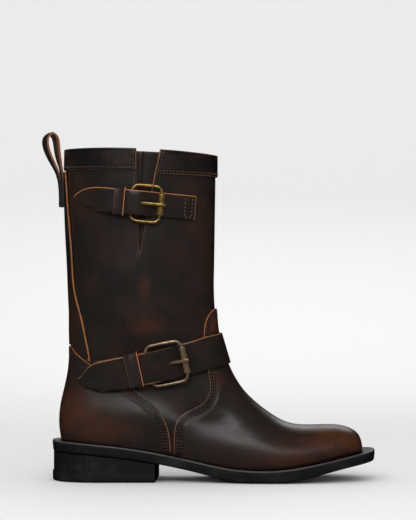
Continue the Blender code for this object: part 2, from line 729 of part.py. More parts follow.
RING = [c / COLUMNS for c in range(COLUMNS)]
RING_LEFT = list(range(HALF + 1))
RING_RIGHT = [0] + list(range(COLUMNS - 1, HALF - 1, -1))


def make_welt():
    edges = []
    for distance_of in (lambda u: outline(u, 0.0), lambda u: inside(u, WELT_INSET)):
        edge = [distance_of(u) for u in RING]
        low = [raised(p, sole_top(p.x) - WELT_THICK) for p in edge]
        high = [raised(p, sole_top(p.x)) for p in edge]
        edges.append((low, high))
    (outer_low, outer_high), (inner_low, inner_high) = edges
    return shell("welt", [outer_low, outer_high], [inner_low, inner_high], BLACK_SOLE, wrap=True)


def make_outsole():
    low = [outline(u, OUTSOLE_INSET + TREAD_EDGE) for u in RING]
    side = [outline(u, OUTSOLE_INSET) for u in RING]
    loops = (
        [raised(p, sole_bottom(p.x)) for p in low],
        [raised(p, sole_bottom(p.x) + TREAD_EDGE) for p in side],
        [raised(p, sole_top(p.x) - WELT_THICK - SEAT_GAP) for p in side],
    )
    return plate("outsole", loops, RING_LEFT, RING_RIGHT, BLACK_SOLE)


def make_insole():
    edge = [inside(u, WELT_INSET + SEAT_GAP) for u in RING]
    loops = (
        [raised(p, sole_top(p.x) - WELT_THICK) for p in edge],
        [raised(p, sole_top(p.x) + INSOLE_TOP) for p in edge],
    )
    return plate("insole", loops, RING_LEFT, RING_RIGHT, TAN_LEATHER)


def heel_loop(inset, height_of_x):
    """A loop round the heel, from the breast's outer corner over the back to its inner corner."""
    outer_u = solve(lambda u: outline(u, inset).x - BREAST_OUTER, 0, 0.3)
    inner_u = solve(lambda u: outline(1 - u, inset).x - BREAST_INNER, 0, 0.3)
    places = [outer_u * (1 - k / HEEL_STEPS) for k in range(HEEL_STEPS)]
    places += [0.0]
    places += [1 - inner_u * (k + 1) / HEEL_STEPS for k in range(HEEL_STEPS)]
    edge = [outline(u, inset) for u in places]
    return [raised(p, height_of_x(p.x)) for p in edge]


HEEL_LEFT = list(range(HEEL_STEPS + 1))
HEEL_RIGHT = list(range(2 * HEEL_STEPS, HEEL_STEPS - 1, -1))


def make_heel():
    block = (
        heel_loop(HEEL_INSET, lambda x: LIFT_TOP + SEAT_GAP),
        heel_loop(HEEL_INSET, lambda x: sole_bottom(x) - SEAT_GAP),
    )
    lift = (
        heel_loop(LIFT_EDGE, lambda x: 0.0),
        heel_loop(0.0, lambda x: LIFT_EDGE),
        heel_loop(0.0, lambda x: LIFT_TOP),
    )
    plate("heel_block", block, HEEL_LEFT, HEEL_RIGHT, BLACK_SOLE)
    plate("heel_top_lift", lift, HEEL_LEFT, HEEL_RIGHT, BLACK_SOLE)


# Straps and buckles. A strap is straight across its width and rests on the highest wall under it.

Stop = namedtuple("Stop", "along point across out")


def strap_route(strap, buckle):
    """Samples of a strap's middle line on the upper, counted from its hinge bar. The strap follows
    the wall, but round its stiff buckle it doesn't twist."""
    tilt = math.cos(math.atan(strap.slope))

    def height_at(offset):
        return lambda x: strap.z0 + strap.slope * (x - strap.hinge_x) + offset / tilt

    samples, last = [], ROUTE_STEPS
    for k in range(last + 1):
        u = mix(strap.u_from, strap.u_to, k / last)
        row = row_at(u, height_at(0.0))
        rows = [row_at(u, height_at(share * strap.width)) for share in (-0.5, -0.25, 0.0, 0.25, 0.5)]
        samples.append((skin(u, row), outward(u, row), [skin(u, r) for r in rows]))
    points = [point for point, _, _ in samples]
    lengths = [0.0]
    for a, b in zip(points, points[1:]):
        lengths.append(lengths[-1] + (b - a).length)
    hinge = next(k for k, p in enumerate(points) if p.x > strap.hinge_x)
    places = [length - lengths[hinge] for length in lengths]
    roller = next(k for k, place in enumerate(places) if place > buckle.length)
    forwards = [(points[min(k + 1, last)] - points[max(k - 1, 0)]).normalized() for k in range(last + 1)]
    acrosses = [samples[k][1].cross(forwards[k]).normalized() for k in range(last + 1)]
    stiff = (acrosses[hinge] + acrosses[roller]).normalized()
    frames, lifts = [], []
    for k, (point, _, wall) in enumerate(samples):
        beyond = max(STIFF_FROM - places[k], places[k] - buckle.length - STIFF_PAST, 0.0)
        across = acrosses[k].lerp(stiff, 1 - ease(beyond / STIFF_FADE))
        out = forwards[k].cross(across).normalized()
        frames.append((out.cross(forwards[k]).normalized(), out))
        lifts.append(max((p - point).dot(out) for p in wall))
    stops = []
    for k, (across, out) in enumerate(frames):
        near = lifts[max(k - 5, 0):k + 6]
        rest = points[k] + out * (max(near) + strap.floor)
        stops.append(Stop(places[k], rest, across, out))
    return stops


def strap_place(stops, along, across, rise):
    """The point at a distance along the strap, across it, and above its underside."""
    k = min(max(bisect.bisect_right([s.along for s in stops], along) - 1, 0), len(stops) - 2)
    f = (along - stops[k].along) / (stops[k + 1].along - stops[k].along)
    a, b = stops[k], stops[k + 1]
    point = a.point.lerp(b.point, f)
    return point + a.across.lerp(b.across, f).normalized() * across + a.out.lerp(b.out, f).normalized() * rise


def layers(buckle, dive):
    """How high the strap's underside runs, from its tail to the roller."""
    return (
        Layer(buckle.chape_end - CHAPE_RAMP, 0.05), Layer(buckle.chape_end - 1, CHAPE_STEP),
        Layer(-25, OVER_CHAPE), Layer(-11, OVER_CHAPE + 0.1), Layer(-5, OVER_HINGE - 1.1),
        Layer(0, OVER_HINGE),
    ) + dive


def half_widths(strap, tails, along):
    if along < tails[-1].along:
        return smooth(tails, along, 1), smooth(tails, along, 2)
    return strap.width / 2, strap.width / 2


def even_marks(start, end, count):
    """Marks after start, up to end."""
    return [mix(start, end, (k + 1) / count) for k in range(count)]


def make_strap(strap, buckle, tails, sewn, rises, stops):
    """The strap from its tail to its sewn end, with a hole for the prong."""
    marks = [t.along for t in tails] + list(HINGE_MARKS)
    marks += even_marks(marks[-1], buckle.hole_from, round((buckle.hole_from - marks[-1]) / HOLE_STEP))
    marks += even_marks(marks[-1], buckle.hole_to, 2)
    marks += even_marks(marks[-1], rises[-1].along, DIVE_STEPS)
    marks += even_marks(marks[-1], sewn.end, int((sewn.end - marks[-1]) / sewn.pitch))
    inner, outer = [], []
    for along in marks:
        up, down = half_widths(strap, tails, along)
        rise = smooth(rises, along)
        across = (-down, -min(SLOT_HALF, 0.4 * down), min(SLOT_HALF, 0.4 * up), up)
        inner.append([strap_place(stops, along, b, rise) for b in across])
        outer.append([strap_place(stops, along, b, rise + strap.thick) for b in across])
    in_hole = [buckle.hole_from - 0.1 < mark < buckle.hole_to - 0.1 for mark in marks]
    hole = {(r, 1) for r in range(len(marks) - 1) if in_hole[r]}
    return shell(strap.name + "_strap", outer, inner, STRAP_LEATHER, left_out=hole)


def make_chape(strap, buckle, stops):
    """The leather that holds the buckle: folded round the hinge bar, with a slot for the prong."""
    Fold = namedtuple("Fold", "outer inner slotted")
    fold_from, slot_from = -10, -6
    flat = [buckle.chape_end] + even_marks(buckle.chape_end, fold_from, 3) + [-5, 0]
    folds = [Fold((along, 0.0), (along, CHAPE), along > slot_from) for along in flat]
    for degrees in (-60, -30, 0, 30, 60, 90):
        turn = math.radians(degrees)
        folds.append(Fold((FOLD_OUT * math.cos(turn), HINGE_RISE + FOLD_OUT * math.sin(turn)),
                          (FOLD_BORE * math.cos(turn), HINGE_RISE + FOLD_BORE * math.sin(turn)), True))
    shoulder = 2 * FOLD_OUT - 1.2
    folds.append(Fold((-4.5, shoulder), (-4.5, shoulder - CHAPE), True))
    folds += [Fold((along, 2 * CHAPE + SEAT_GAP), (along, CHAPE + SEAT_GAP), False) for along in (-10.5, -22)]
    half = strap.width / 2 - 0.2
    across = (-half, -SLOT_HALF, SLOT_HALF, half)
    outer = [[strap_place(stops, f.outer[0], b, f.outer[1]) for b in across] for f in folds]
    inner = [[strap_place(stops, f.inner[0], b, f.inner[1]) for b in across] for f in folds]
    slot = {(r, 1) for r in range(len(folds) - 1) if folds[r].slotted and folds[r + 1].slotted}
    return shell(strap.name + "_chape", outer, inner, STRAP_LEATHER, left_out=slot)


def make_keeper(strap, buckle, rises, stops):
    """The leather loop over the strap's tail, with a foot on each side."""
    half = strap.width / 2 + KEEPER_SIDE_GAP
    soft = KEEPER_SOFT
    wide, shoulder = half + KEEPER, half - 0.2
    inner, outer = [], []
    for k in range(4):
        along = mix(buckle.keeper_from, buckle.keeper_to, k / 3)
        top = smooth(rises, along) + strap.thick + 2 * SEAT_GAP
        inside_half = [(half, KEEPER_FOOT), (half, top - soft), (half - soft, top)]
        outside_half = [(wide, KEEPER_FOOT), (wide, top - 0.4), (shoulder, top + KEEPER)]
        inside_path = [(-b, n) for b, n in inside_half] + inside_half[::-1]
        outside_path = [(-b, n) for b, n in outside_half] + outside_half[::-1]
        inner.append([strap_place(stops, along, b, n) for b, n in inside_path])
        outer.append([strap_place(stops, along, b, n) for b, n in outside_path])
    return shell(strap.name + "_keeper", outer, inner, STRAP_LEATHER)


def roller_rise(strap):
    return strap.thick + SEAT_GAP + ROLLER_OUT


def make_frame(name, path):
    """A closed wire through the points of a path."""
    curve = bpy.data.curves.new(name, "CURVE")
    curve.dimensions = "3D"
    curve.bevel_depth = WIRE * MM
    curve.bevel_resolution = 2
    spline = curve.splines.new("POLY")
    spline.points.add(len(path) - 1)
    for place, p in zip(spline.points, path):
        place.co = (p.x * MM, (p.y + SIDE_SHIFT) * MM, p.z * MM, 1.0)
    spline.use_cyclic_u = True
    curve.materials.append(finish_material(name, OLD_BRASS))
    frame = bpy.data.objects.new(name, curve)
    bpy.context.scene.collection.objects.link(frame)
    return frame


def make_buckle(strap, buckle, stops):
    """A wire frame with rounded corners, and a roller on its free bar."""
    hinge = strap_place(stops, 0, 0, HINGE_RISE)
    free = strap_place(stops, buckle.length, 0, roller_rise(strap))
    forward = (free - hinge).normalized()
    across = strap_place(stops, 0, 1, HINGE_RISE) - hinge
    across = (across - forward * across.dot(forward)).normalized()
    out = forward.cross(across)
    length, half, corner = (free - hinge).length, buckle.height / 2, buckle.corner

    path = []
    centres = ((length - corner, half - corner, 0), (corner, half - corner, 90),
               (corner, corner - half, 180), (length - corner, corner - half, 270))
    for x, y, start in centres:
        for k in range(WIRE_TURNS + 1):
            angle = math.radians(start + 90 * k / WIRE_TURNS)
            along, over = x + corner * math.cos(angle), y + corner * math.sin(angle)
            path.append(hinge + forward * along + across * over)
    make_frame(strap.name + "_buckle_frame", path)

    angles = [2 * math.pi * k / ROLLER_SIDES for k in range(ROLLER_SIDES)]
    spokes = [forward * math.cos(angle) + out * math.sin(angle) for angle in angles]
    ends = [free + across * (end * buckle.roller / 2) for end in (-1, 1)]
    outside = [[end + spoke * ROLLER_OUT for spoke in spokes] for end in ends]
    bore = [[end + spoke * ROLLER_BORE for spoke in spokes] for end in ends]
    shell(strap.name + "_buckle_roller", outside, bore, OLD_BRASS, wrap=True)


def make_prong(strap, buckle, climb, stops):
    """The prong: curled round the hinge bar, up through the strap's hole, its tip on the roller."""
    seat = roller_rise(strap) + ROLLER_OUT + SEAT_GAP + PRONG_THICK / 2
    shank = climb + (Layer(buckle.length, seat), Layer(buckle.length + PRONG_TIP, seat - 0.2))
    outer, inner = [], []
    for degrees in (-40, -90, -140, -190, -235, -270):
        turn = math.radians(degrees)
        for line, radius in ((outer, CURL_BORE + CURL), (inner, CURL_BORE)):
            line.append((math.cos(turn) * radius, HINGE_RISE + math.sin(turn) * radius))
    for k, (along, rise) in enumerate(shank):
        half = (CURL if k == 0 else PRONG_THICK) / 2
        outer.append((along, rise + half))
        inner.append((along, rise - half))
    across = (-PRONG_HALF, PRONG_HALF)
    sheet_out = [[strap_place(stops, a, b, n) for b in across] for a, n in outer]
    sheet_in = [[strap_place(stops, a, b, n) for b in across] for a, n in inner]
    return shell(strap.name + "_buckle_prong", sheet_out, sheet_in, OLD_BRASS)


def make_fastening(strap, buckle, tails, sewn, dive, climb):
    stops = strap_route(strap, buckle)
    rises = layers(buckle, dive)
    make_strap(strap, buckle, tails, sewn, rises, stops)
    make_chape(strap, buckle, stops)
    make_keeper(strap, buckle, rises, stops)
    make_buckle(strap, buckle, stops)
    make_prong(strap, buckle, climb, stops)


def main():
    for old in list(bpy.data.objects):
        bpy.data.objects.remove(old, do_unlink=True)
    make_outsole()
    make_heel()
    make_welt()
    make_insole()
    make_upper()
    make_vamp()
    make_heel_counter()
    make_back_stay()
    make_collar_band()
    make_gusset()
    make_pull_loop()
    make_fastening(TOP, TOP_BUCKLE, TOP_TAIL, TOP_SEWN, TOP_DIVE, TOP_PRONG)
    make_fastening(INSTEP, INSTEP_BUCKLE, INSTEP_TAIL, INSTEP_SEWN, INSTEP_DIVE, INSTEP_PRONG)


main()
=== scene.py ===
# %% [markdown]
# # A motorcycle boot in burnished leather
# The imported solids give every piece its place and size. This lesson dresses them: each leather piece
# gets a smooth skin, a worn cut edge and its stitching, the buckles get old brass, and the sole a
# black edge dressing. All lengths in the tables below are in millimetres, and meshes are in metres.

import math
from collections import namedtuple

import bmesh
import bpy
import numpy as np
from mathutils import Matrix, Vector
from mathutils.bvhtree import BVHTree
from mathutils.kdtree import KDTree


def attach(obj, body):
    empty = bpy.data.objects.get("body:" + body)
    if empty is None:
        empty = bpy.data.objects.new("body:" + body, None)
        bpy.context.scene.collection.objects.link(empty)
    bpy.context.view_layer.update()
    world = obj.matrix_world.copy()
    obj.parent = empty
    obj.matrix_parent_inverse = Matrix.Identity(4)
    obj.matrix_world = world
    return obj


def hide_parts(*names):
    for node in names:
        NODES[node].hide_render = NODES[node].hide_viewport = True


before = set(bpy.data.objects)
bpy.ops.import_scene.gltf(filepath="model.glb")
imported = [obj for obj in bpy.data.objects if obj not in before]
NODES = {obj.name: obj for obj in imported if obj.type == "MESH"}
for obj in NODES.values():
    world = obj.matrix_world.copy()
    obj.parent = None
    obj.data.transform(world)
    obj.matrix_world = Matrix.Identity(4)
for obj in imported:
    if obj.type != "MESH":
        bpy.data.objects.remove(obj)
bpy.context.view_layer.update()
MM = 0.001
print("loaded", len(NODES), "nodes")

# %% [markdown]
# ## Camera
# The photograph is taken level, from the outer side and from far away, so lines hardly converge. A
# long lens two metres off gives the same view. The image is 416 by 520 pixels, and one pixel covers
# 0.9 mm at the boot's middle, so the height of the picture there sets the lens.

# %% Camera
CAMERA_AWAY = 2100.0
CAMERA_HEIGHT = 197.4
PIXEL = 0.9
IMAGE_HEIGHT = 520
SENSOR_HEIGHT = 24.0
FARTHEST_SEEN = 50.0

bpy.ops.object.select_all(action="DESELECT")
bpy.ops.object.camera_add(location=(0, -CAMERA_AWAY * MM, CAMERA_HEIGHT * MM),
                          rotation=(math.radians(90), 0, 0))
camera = bpy.context.active_object
camera.data.sensor_fit = "VERTICAL"
camera.data.sensor_height = SENSOR_HEIGHT
camera.data.lens = SENSOR_HEIGHT * CAMERA_AWAY / (IMAGE_HEIGHT * PIXEL)
camera.data.clip_end = FARTHEST_SEEN
bpy.context.scene.camera = camera
print("camera lens", round(camera.data.lens, 1))

# %% [markdown]
# ## Shader sums in plain Python
# A leather finish is a long sum of noises and masks. Wiring it by hand is slow to read, so one small
# class wraps a socket: sums of wrapped sockets add Math nodes, and `node` adds any other node.


# %% A socket that can be added and multiplied
class Wire:
    """A socket of a material's nodes that takes part in sums as a number does."""

    def __init__(self, tree, socket=None):
        self.tree = tree
        self.socket = socket

    def node(self, kind, settings=None, inputs=None, output=0):
        """Adds a node, sets it, fills its sockets with numbers or wires, and wraps one output."""
        made = self.tree.nodes.new(kind)
        for name, value in (settings or {}).items():
            setattr(made, name, value)
        for name, value in (inputs or {}).items():
            if isinstance(value, Wire):
                self.tree.links.new(value.socket, made.inputs[name])
            else:
                made.inputs[name].default_value = value
        return Wire(self.tree, made.outputs[output])

    def math(self, operation, first, second, clamp=False):
        settings = {"operation": operation, "use_clamp": clamp}
        return self.node("ShaderNodeMath", settings, {0: first, 1: second})

    def __add__(self, other):
        return self.math("ADD", self, other)

    __radd__ = __add__

    def __sub__(self, other):
        return self.math("SUBTRACT", self, other)

    def __rsub__(self, other):
        return self.math("SUBTRACT", other, self)

    def __mul__(self, other):
        return self.math("MULTIPLY", self, other)

    __rmul__ = __mul__

    def clamped(self):
        return self.math("ADD", self, 0.0, clamp=True)

    def rise(self, low, high):
        """0 below low, 1 above high, and a soft step between. low over high turns the step round."""
        return self.node("ShaderNodeMapRange", {"interpolation_type": "SMOOTHSTEP"},
                         {"Value": self, "From Min": low, "From Max": high})

    def near(self, place, width):
        """A soft bump that is 1 where the value is at a place and 0 one width away."""
        away = self.math("ABSOLUTE", self - place, 0.0)
        return away.rise(width, 0.0)

    def tint(self, first, second):
        """A colour between two colours, this value being the share of the second."""
        return self.node("ShaderNodeMix", {"data_type": "RGBA"}, {0: self, 6: first, 7: second}, output=2)


print("sums of sockets ready")

# %% [markdown]
# Every finish on the boot starts with the same shader and the same object coordinates, and most use a
# noise and a bump. Four short helpers say this once, so each material below holds only what is its own.


# %% Helpers for materials
def start_material(name):
    """A new material, its shader, and the object coordinates as a wire to begin sums with."""
    material = bpy.data.materials.new(name)
    material.use_nodes = True
    tree = material.node_tree
    tree.nodes.clear()
    shader = tree.nodes.new("ShaderNodeBsdfPrincipled")
    output = tree.nodes.new("ShaderNodeOutputMaterial")
    tree.links.new(shader.outputs[0], output.inputs[0])
    place = Wire(tree).node("ShaderNodeTexCoord", output="Object")
    return material, shader, place


def plug(shader, name, value):
    """Puts a wire on one of the shader's sockets."""
    value.tree.links.new(value.socket, shader.inputs[name])


def noise(place, scale, detail, roughness, stretch=None):
    """A noise from 0 to 1. Scale counts its lumps in a metre."""
    if stretch:
        place = place.node("ShaderNodeVectorMath", {"operation": "MULTIPLY"}, {0: place, 1: stretch})
    return place.node("ShaderNodeTexNoise", None,
                      {"Vector": place, "Scale": scale, "Detail": detail, "Roughness": roughness})


def bump(height, strength, depth, under=None):
    """A Bump node, depth in mm, on top of another one."""
    inputs = {"Height": height, "Strength": strength, "Distance": depth * MM}
    if under:
        inputs["Normal"] = under
    return height.node("ShaderNodeBump", None, inputs)


print("material helpers ready")

# %% [markdown]
# ## Leather
# The maker dyes brown leather nearly black by hand and rubs it back where the boot is handled: at the
# toe, the heel, the tongue and in clouds on the shaft. A painted mask could say where. A short table of
# rubbed places is easier to change, and noises make their borders ragged.

# %% Rubbed places
Rub = namedtuple("Rub", "x y z reach_x reach_y reach_z strength")
RUBS = (
    Rub(112, 0, 36, 52, 75, 22, 1.0),  # toe
    Rub(72, -40, 24, 44, 40, 16, 0.5),  # outer side of the toe, above the welt
    Rub(-118, 0, 62, 44, 75, 30, 0.75),  # heel
    Rub(-95, -34, 48, 46, 30, 20, 0.5),  # outer side of the heel
    Rub(-56, -42, 171, 8, 24, 17, 0.45),  # middle of the shaft
    Rub(-54, -42, 139, 21, 24, 14, 0.55),  # above the instep buckle
    Rub(4, -12, 140, 10, 40, 15, 0.8),  # tongue of the vamp
    Rub(10, -30, 90, 7, 22, 12, 0.35),  # under the instep strap
    Rub(-124, 0, 140, 14, 40, 45, 0.35),  # back of the ankle
    Rub(-8, -40, 228, 20, 30, 22, 0.22),  # front of the shaft
    Rub(-8, -26, 292, 16, 28, 4.5, 0.8),  # front of the collar
)
RAGGED = 1.1
RUB_FADES = 1.1
RUB_FULL = 0.1


def rubbed_places(place, clouds, small_clouds):
    """Where the dark coat is rubbed away, 0 to 1."""
    total = None
    for rub in RUBS:
        centre = Vector((rub.x, rub.y, rub.z)) * MM
        reach = (1 / (rub.reach_x * MM), 1 / (rub.reach_y * MM), 1 / (rub.reach_z * MM))
        away = place.node("ShaderNodeVectorMath", {"operation": "SUBTRACT"}, {0: place, 1: centre})
        away = place.node("ShaderNodeVectorMath", {"operation": "MULTIPLY"}, {0: away, 1: reach})
        length = place.node("ShaderNodeVectorMath", {"operation": "LENGTH"}, {0: away}, output="Value")
        length = length + (clouds - 0.5) * RAGGED + (small_clouds - 0.5) * RAGGED
        mask = length.rise(RUB_FADES, RUB_FULL) * rub.strength
        total = mask if total is None else total.math("MAXIMUM", total, mask)
    return total


print(len(RUBS), "rubbed places")

# %% [markdown]
# The grain side is a dark coat over a warm brown. Fine pores and creases come from two noises in the
# bump, and the gloss is uneven. The attribute `from_edge` holds each point's distance from the panel's
# cut edge in millimetres, and draws the worn line along the edge and the pressed channels under the
# stitch rows, which are darkened a little as painted shade. The attribute `edge_tone` says how raw the
# nearest edge is, from 0 for a dyed one, or one kept dark as painted shade, to 1 for a bare one.

# %% The grain side
COAT = (0.0118, 0.0092, 0.0080, 1)
WARM_COAT = (0.0235, 0.0112, 0.0080, 1)
RUBBED = (0.066, 0.0175, 0.0035, 1)
RAW = (0.36, 0.128, 0.036, 1)
SEAM_GROUND = (0.0085, 0.0050, 0.0040, 1)
GROOVE_SHADE = (0.004, 0.003, 0.0025, 1)
CHANNEL_HALF = 0.8
WAX_WEIGHT = 0.12
WAX_ROUGHNESS = 0.27


def attribute(place, name):
    """A number that the mesh stores at its points."""
    return place.node("ShaderNodeAttribute", {"attribute_name": name}, output="Fac")


def pressed_channels(from_edge, channels):
    """1 in the middle of each channel under a stitch row, and 0 beside it."""
    groove = None
    for channel in channels:
        pressed = from_edge.near(channel, CHANNEL_HALF)
        groove = pressed if groove is None else groove.math("MAXIMUM", groove, pressed)
    return groove


def grain_material(name, edge_line, channels=(), padding=0.0, roughness=0.36, coat=COAT, rub_share=1.0,
                   ground=SEAM_GROUND):
    """The outer side of a piece: edge_line is the worn line's width, padding the rise behind a seam."""
    material, shader, place = start_material(name)
    clouds = noise(place, scale=26, detail=4, roughness=0.6)
    small_clouds = noise(place, scale=110, detail=3, roughness=0.6)
    pores = noise(place, scale=1500, detail=2, roughness=0.6)
    wrinkles = place.node("ShaderNodeTexVoronoi", {"feature": "DISTANCE_TO_EDGE"},
                          {"Vector": place, "Scale": 520.0}, output="Distance")
    rubbed = (rubbed_places(place, clouds, small_clouds) * rub_share).clamped()
    base = clouds.rise(0.38, 0.68).tint(coat, WARM_COAT)
    colour = rubbed.tint(base, RUBBED)
    relief = pores * 0.5 + wrinkles.rise(0.0, 0.25) * 0.5
    rough = roughness + (small_clouds - 0.5) * 0.16 + rubbed * 0.05
    normal = bump(relief, strength=0.13, depth=0.25)
    normal = bump(clouds, strength=0.30, depth=1.2, under=normal)
    from_edge = attribute(place, "from_edge")
    ragged = edge_line * (0.55 + noise(place, scale=420, detail=3, roughness=0.7) * 0.9)
    worn = (from_edge - ragged).rise(0.15, -0.1) * attribute(place, "edge_tone")
    colour = worn.tint(colour, RAW)
    rough = rough + worn * 0.2
    if channels:
        groove = pressed_channels(from_edge, channels)
        last_row = channels[-1]
        seam = from_edge.rise(last_row + 1.6, last_row + 0.6)
        colour = (seam * 0.6).tint(colour, ground)
        # The pressed channels are darkened a little: painted shade in the grooves.
        colour = (groove * 0.2).tint(colour, GROOVE_SHADE)
        swell = from_edge.rise(last_row + 0.8, last_row + 4.0) * padding
        normal = bump(swell - groove * 0.45, strength=0.85, depth=0.8, under=normal)
    plug(shader, "Base Color", colour)
    plug(shader, "Roughness", rough)
    plug(shader, "Normal", normal)
    shader.inputs["Coat Weight"].default_value = WAX_WEIGHT
    shader.inputs["Coat Roughness"].default_value = WAX_ROUGHNESS
    return material


print("grain side ready")

# %% [markdown]
# The pieces are cut from the same hide, but they are dyed, waxed and rubbed to different depths. Each one
# has its own finish from the same recipe: the width of its worn line, its stitch rows and its gloss. The
# vamp and the pull loop have their own coat colour, made lighter than the rest as a painted sheen.

# %% Grain finishes
SEAM_ROWS = (2.1, 4.1, 6.1)
BAND_ROWS = (2.2,)
# The vamp's coat is lighter than the shaft's: its own coat with a painted sheen.
VAMP_COAT_AND_SHEEN = (0.0165, 0.0110, 0.0095, 1)
BAND_COAT = (0.0072, 0.0060, 0.0058, 1)
BAND_GROUND = (0.006, 0.0045, 0.004, 1)
KEEPER_COAT = (0.020, 0.010, 0.009, 1)
# The loop's coat is a lighter grey: its own coat with a painted sheen on the face turned back.
LOOP_COAT_AND_SHEEN = (0.027, 0.024, 0.023, 1)
SHAFT_GRAIN = grain_material("shaft_grain", 0.3)
VAMP_GRAIN = grain_material("vamp_grain", 0.5, SEAM_ROWS, padding=1.0, roughness=0.37, coat=VAMP_COAT_AND_SHEEN)
COUNTER_GRAIN = grain_material("counter_grain", 0.45, SEAM_ROWS, padding=1.0, roughness=0.38)
BAND_GRAIN = grain_material("band_grain", 0.35, BAND_ROWS, coat=BAND_COAT, ground=BAND_GROUND)
STAY_GRAIN = grain_material("stay_grain", 0.75)
STRAP_GRAIN = grain_material("strap_grain", 0.5, roughness=0.33, rub_share=0.25)
KEEPER_GRAIN = grain_material("keeper_grain", 0.45, roughness=0.5, coat=KEEPER_COAT, rub_share=0.2)
LOOP_GRAIN = grain_material("loop_grain", 0.3, roughness=0.42, coat=LOOP_COAT_AND_SHEEN, rub_share=0.5)
print("eight grain finishes ready")

# %% [markdown]
# The cut edge shows the undyed leather, rough and patchy, and darker where the maker inked it. On some
# pieces the edges that face down get the dark coat too, as painted shade. The back of the leather has a
# short nap: a fine noise in colour, roughness and bump is enough for it at this size.

# %% The cut edge and the flesh side
RAW_DARK = (0.12, 0.042, 0.012, 1)
FLESH = (0.20, 0.085, 0.036, 1)
FLESH_DARK = (0.11, 0.045, 0.02, 1)
LINING_TAN = (0.19, 0.098, 0.05, 1)
LINING_DARK = (0.12, 0.06, 0.03, 1)


def raw_edge_material(name):
    """A cut edge: bare leather, and the dark coat where its tone is low: ink, and painted shade on some
    edges that face down.
    """
    material, shader, place = start_material(name)
    patches = noise(place, scale=130, detail=4, roughness=0.65)
    fibres = noise(place, scale=1900, detail=2, roughness=0.6)
    bare = patches.rise(0.25, 0.62).tint(RAW_DARK, RAW)
    plug(shader, "Base Color", attribute(place, "edge_tone").tint(COAT, bare))
    plug(shader, "Roughness", 0.62 + fibres * 0.15)
    plug(shader, "Normal", bump(fibres, strength=0.5, depth=0.3))
    return material


def flesh_material(name, colour, dark):
    """The undyed back of the leather: a short nap."""
    material, shader, place = start_material(name)
    clouds = noise(place, scale=60, detail=4, roughness=0.6)
    nap = noise(place, scale=2100, detail=3, roughness=0.7)
    plug(shader, "Base Color", (clouds * 0.6 + nap * 0.4).rise(0.2, 0.8).tint(dark, colour))
    plug(shader, "Roughness", 0.85 + nap * 0.1)
    plug(shader, "Normal", bump(nap, strength=0.5, depth=0.4))
    return material


CUT_EDGE = raw_edge_material("cut_edge")
NAPPED = flesh_material("flesh_side", FLESH, FLESH_DARK)
LINING = flesh_material("lining", LINING_TAN, LINING_DARK)
print("cut edge, flesh side and lining ready")

# %% [markdown]
# ## From a coarse solid to a leather panel
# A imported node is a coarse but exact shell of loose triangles. Modelling each panel anew would lose the
# exact fit, so a copy of the node is merged and its triangles are joined to quads, which subdivide well.


# %% A clean copy of a node
def take(piece):
    """Deselects everything, then makes one object the selected and active one."""
    bpy.ops.object.select_all(action="DESELECT")
    piece.select_set(True)
    bpy.context.view_layer.objects.active = piece


def merged_copy(node):
    """A copy of a node's mesh as a clean mesh of quads."""
    piece = bpy.data.objects.new(node + "_dressed", NODES[node].data.copy())
    bpy.context.scene.collection.objects.link(piece)
    take(piece)
    piece.data.materials.clear()
    bpy.ops.mesh.customdata_custom_splitnormals_clear()
    bpy.ops.object.mode_set(mode="EDIT")
    bpy.ops.mesh.select_all(action="SELECT")
    bpy.ops.mesh.remove_doubles(threshold=1e-6)
    bpy.ops.mesh.tris_convert_to_quads(face_threshold=math.radians(50), shape_threshold=math.radians(80),
                                       topology_influence=1.0)
    bpy.ops.object.mode_set(mode="OBJECT")
    return piece


print("copies can be made of", len(NODES), "nodes")

# %% [markdown]
# Leather has three looks: grain side, cut edge and flesh side. Choosing faces by hand would take an hour,
# so they are sorted by shape: narrow faces between two sharp edges are the cut edge, faces that look at
# the boot at close range are the flesh side, and the rest is the grain side.

# %% The three sides of the leather
GRAIN, EDGE, BACK = 0, 1, 2
SHARP = math.radians(48)
LOOK_FROM = 0.6
HOLE_SIZE = 18.0


def tree_of(nodes):
    """A search tree over several nodes' triangles."""
    points, faces = [], []
    for node in nodes:
        mesh = NODES[node].data
        start = len(points)
        points += [v.co.copy() for v in mesh.vertices]
        faces += [tuple(start + i for i in p.vertices) for p in mesh.polygons]
    return BVHTree.FromPolygons(points, faces)


def is_rim(face, sharp, thickness):
    """A cut edge is a quad between two sharp edges that are one leather thickness apart."""
    edges = list(face.edges)
    if len(edges) != 4:
        return False
    for a, b in ((0, 1), (1, 0)):
        if edges[a] in sharp and edges[a + 2] in sharp:
            if max(edges[b].calc_length(), edges[b + 2].calc_length()) < thickness * MM:
                return True
    return False


def small_rims(rims):
    """The rim faces round holes: connected groups in a small box, whichever face comes first."""
    left, small = set(rims), []
    while left:
        group, stack = [], [left.pop()]
        while stack:
            face = stack.pop()
            group.append(face)
            for edge in face.edges:
                for other in edge.link_faces:
                    if other in left:
                        left.remove(other)
                        stack.append(other)
        middles = np.array([tuple(f.calc_center_median()) for f in group])
        if np.linalg.norm(np.ptp(middles, axis=0)) < HOLE_SIZE * MM:
            small += group
    return small


def sort_faces(piece, thickness, under, reach):
    """Gives every face its side of the leather."""
    tree = tree_of(under) if under else None
    shape = bmesh.new()
    shape.from_mesh(piece.data)
    sharp = {e for e in shape.edges if len(e.link_faces) == 2 and e.calc_face_angle() > SHARP}
    rims = [f for f in shape.faces if is_rim(f, sharp, thickness)]
    holes = set(small_rims(rims))
    for face in shape.faces:
        face.material_index = GRAIN
        if tree:
            start = face.calc_center_median() + face.normal * LOOK_FROM * MM
            if tree.ray_cast(start, face.normal, reach * MM)[0]:
                face.material_index = BACK
    for face in rims:
        face.material_index = GRAIN if face in holes else EDGE
    shape.to_mesh(piece.data)
    shape.free()


print("faces are sorted into", len((GRAIN, EDGE, BACK)), "sides")

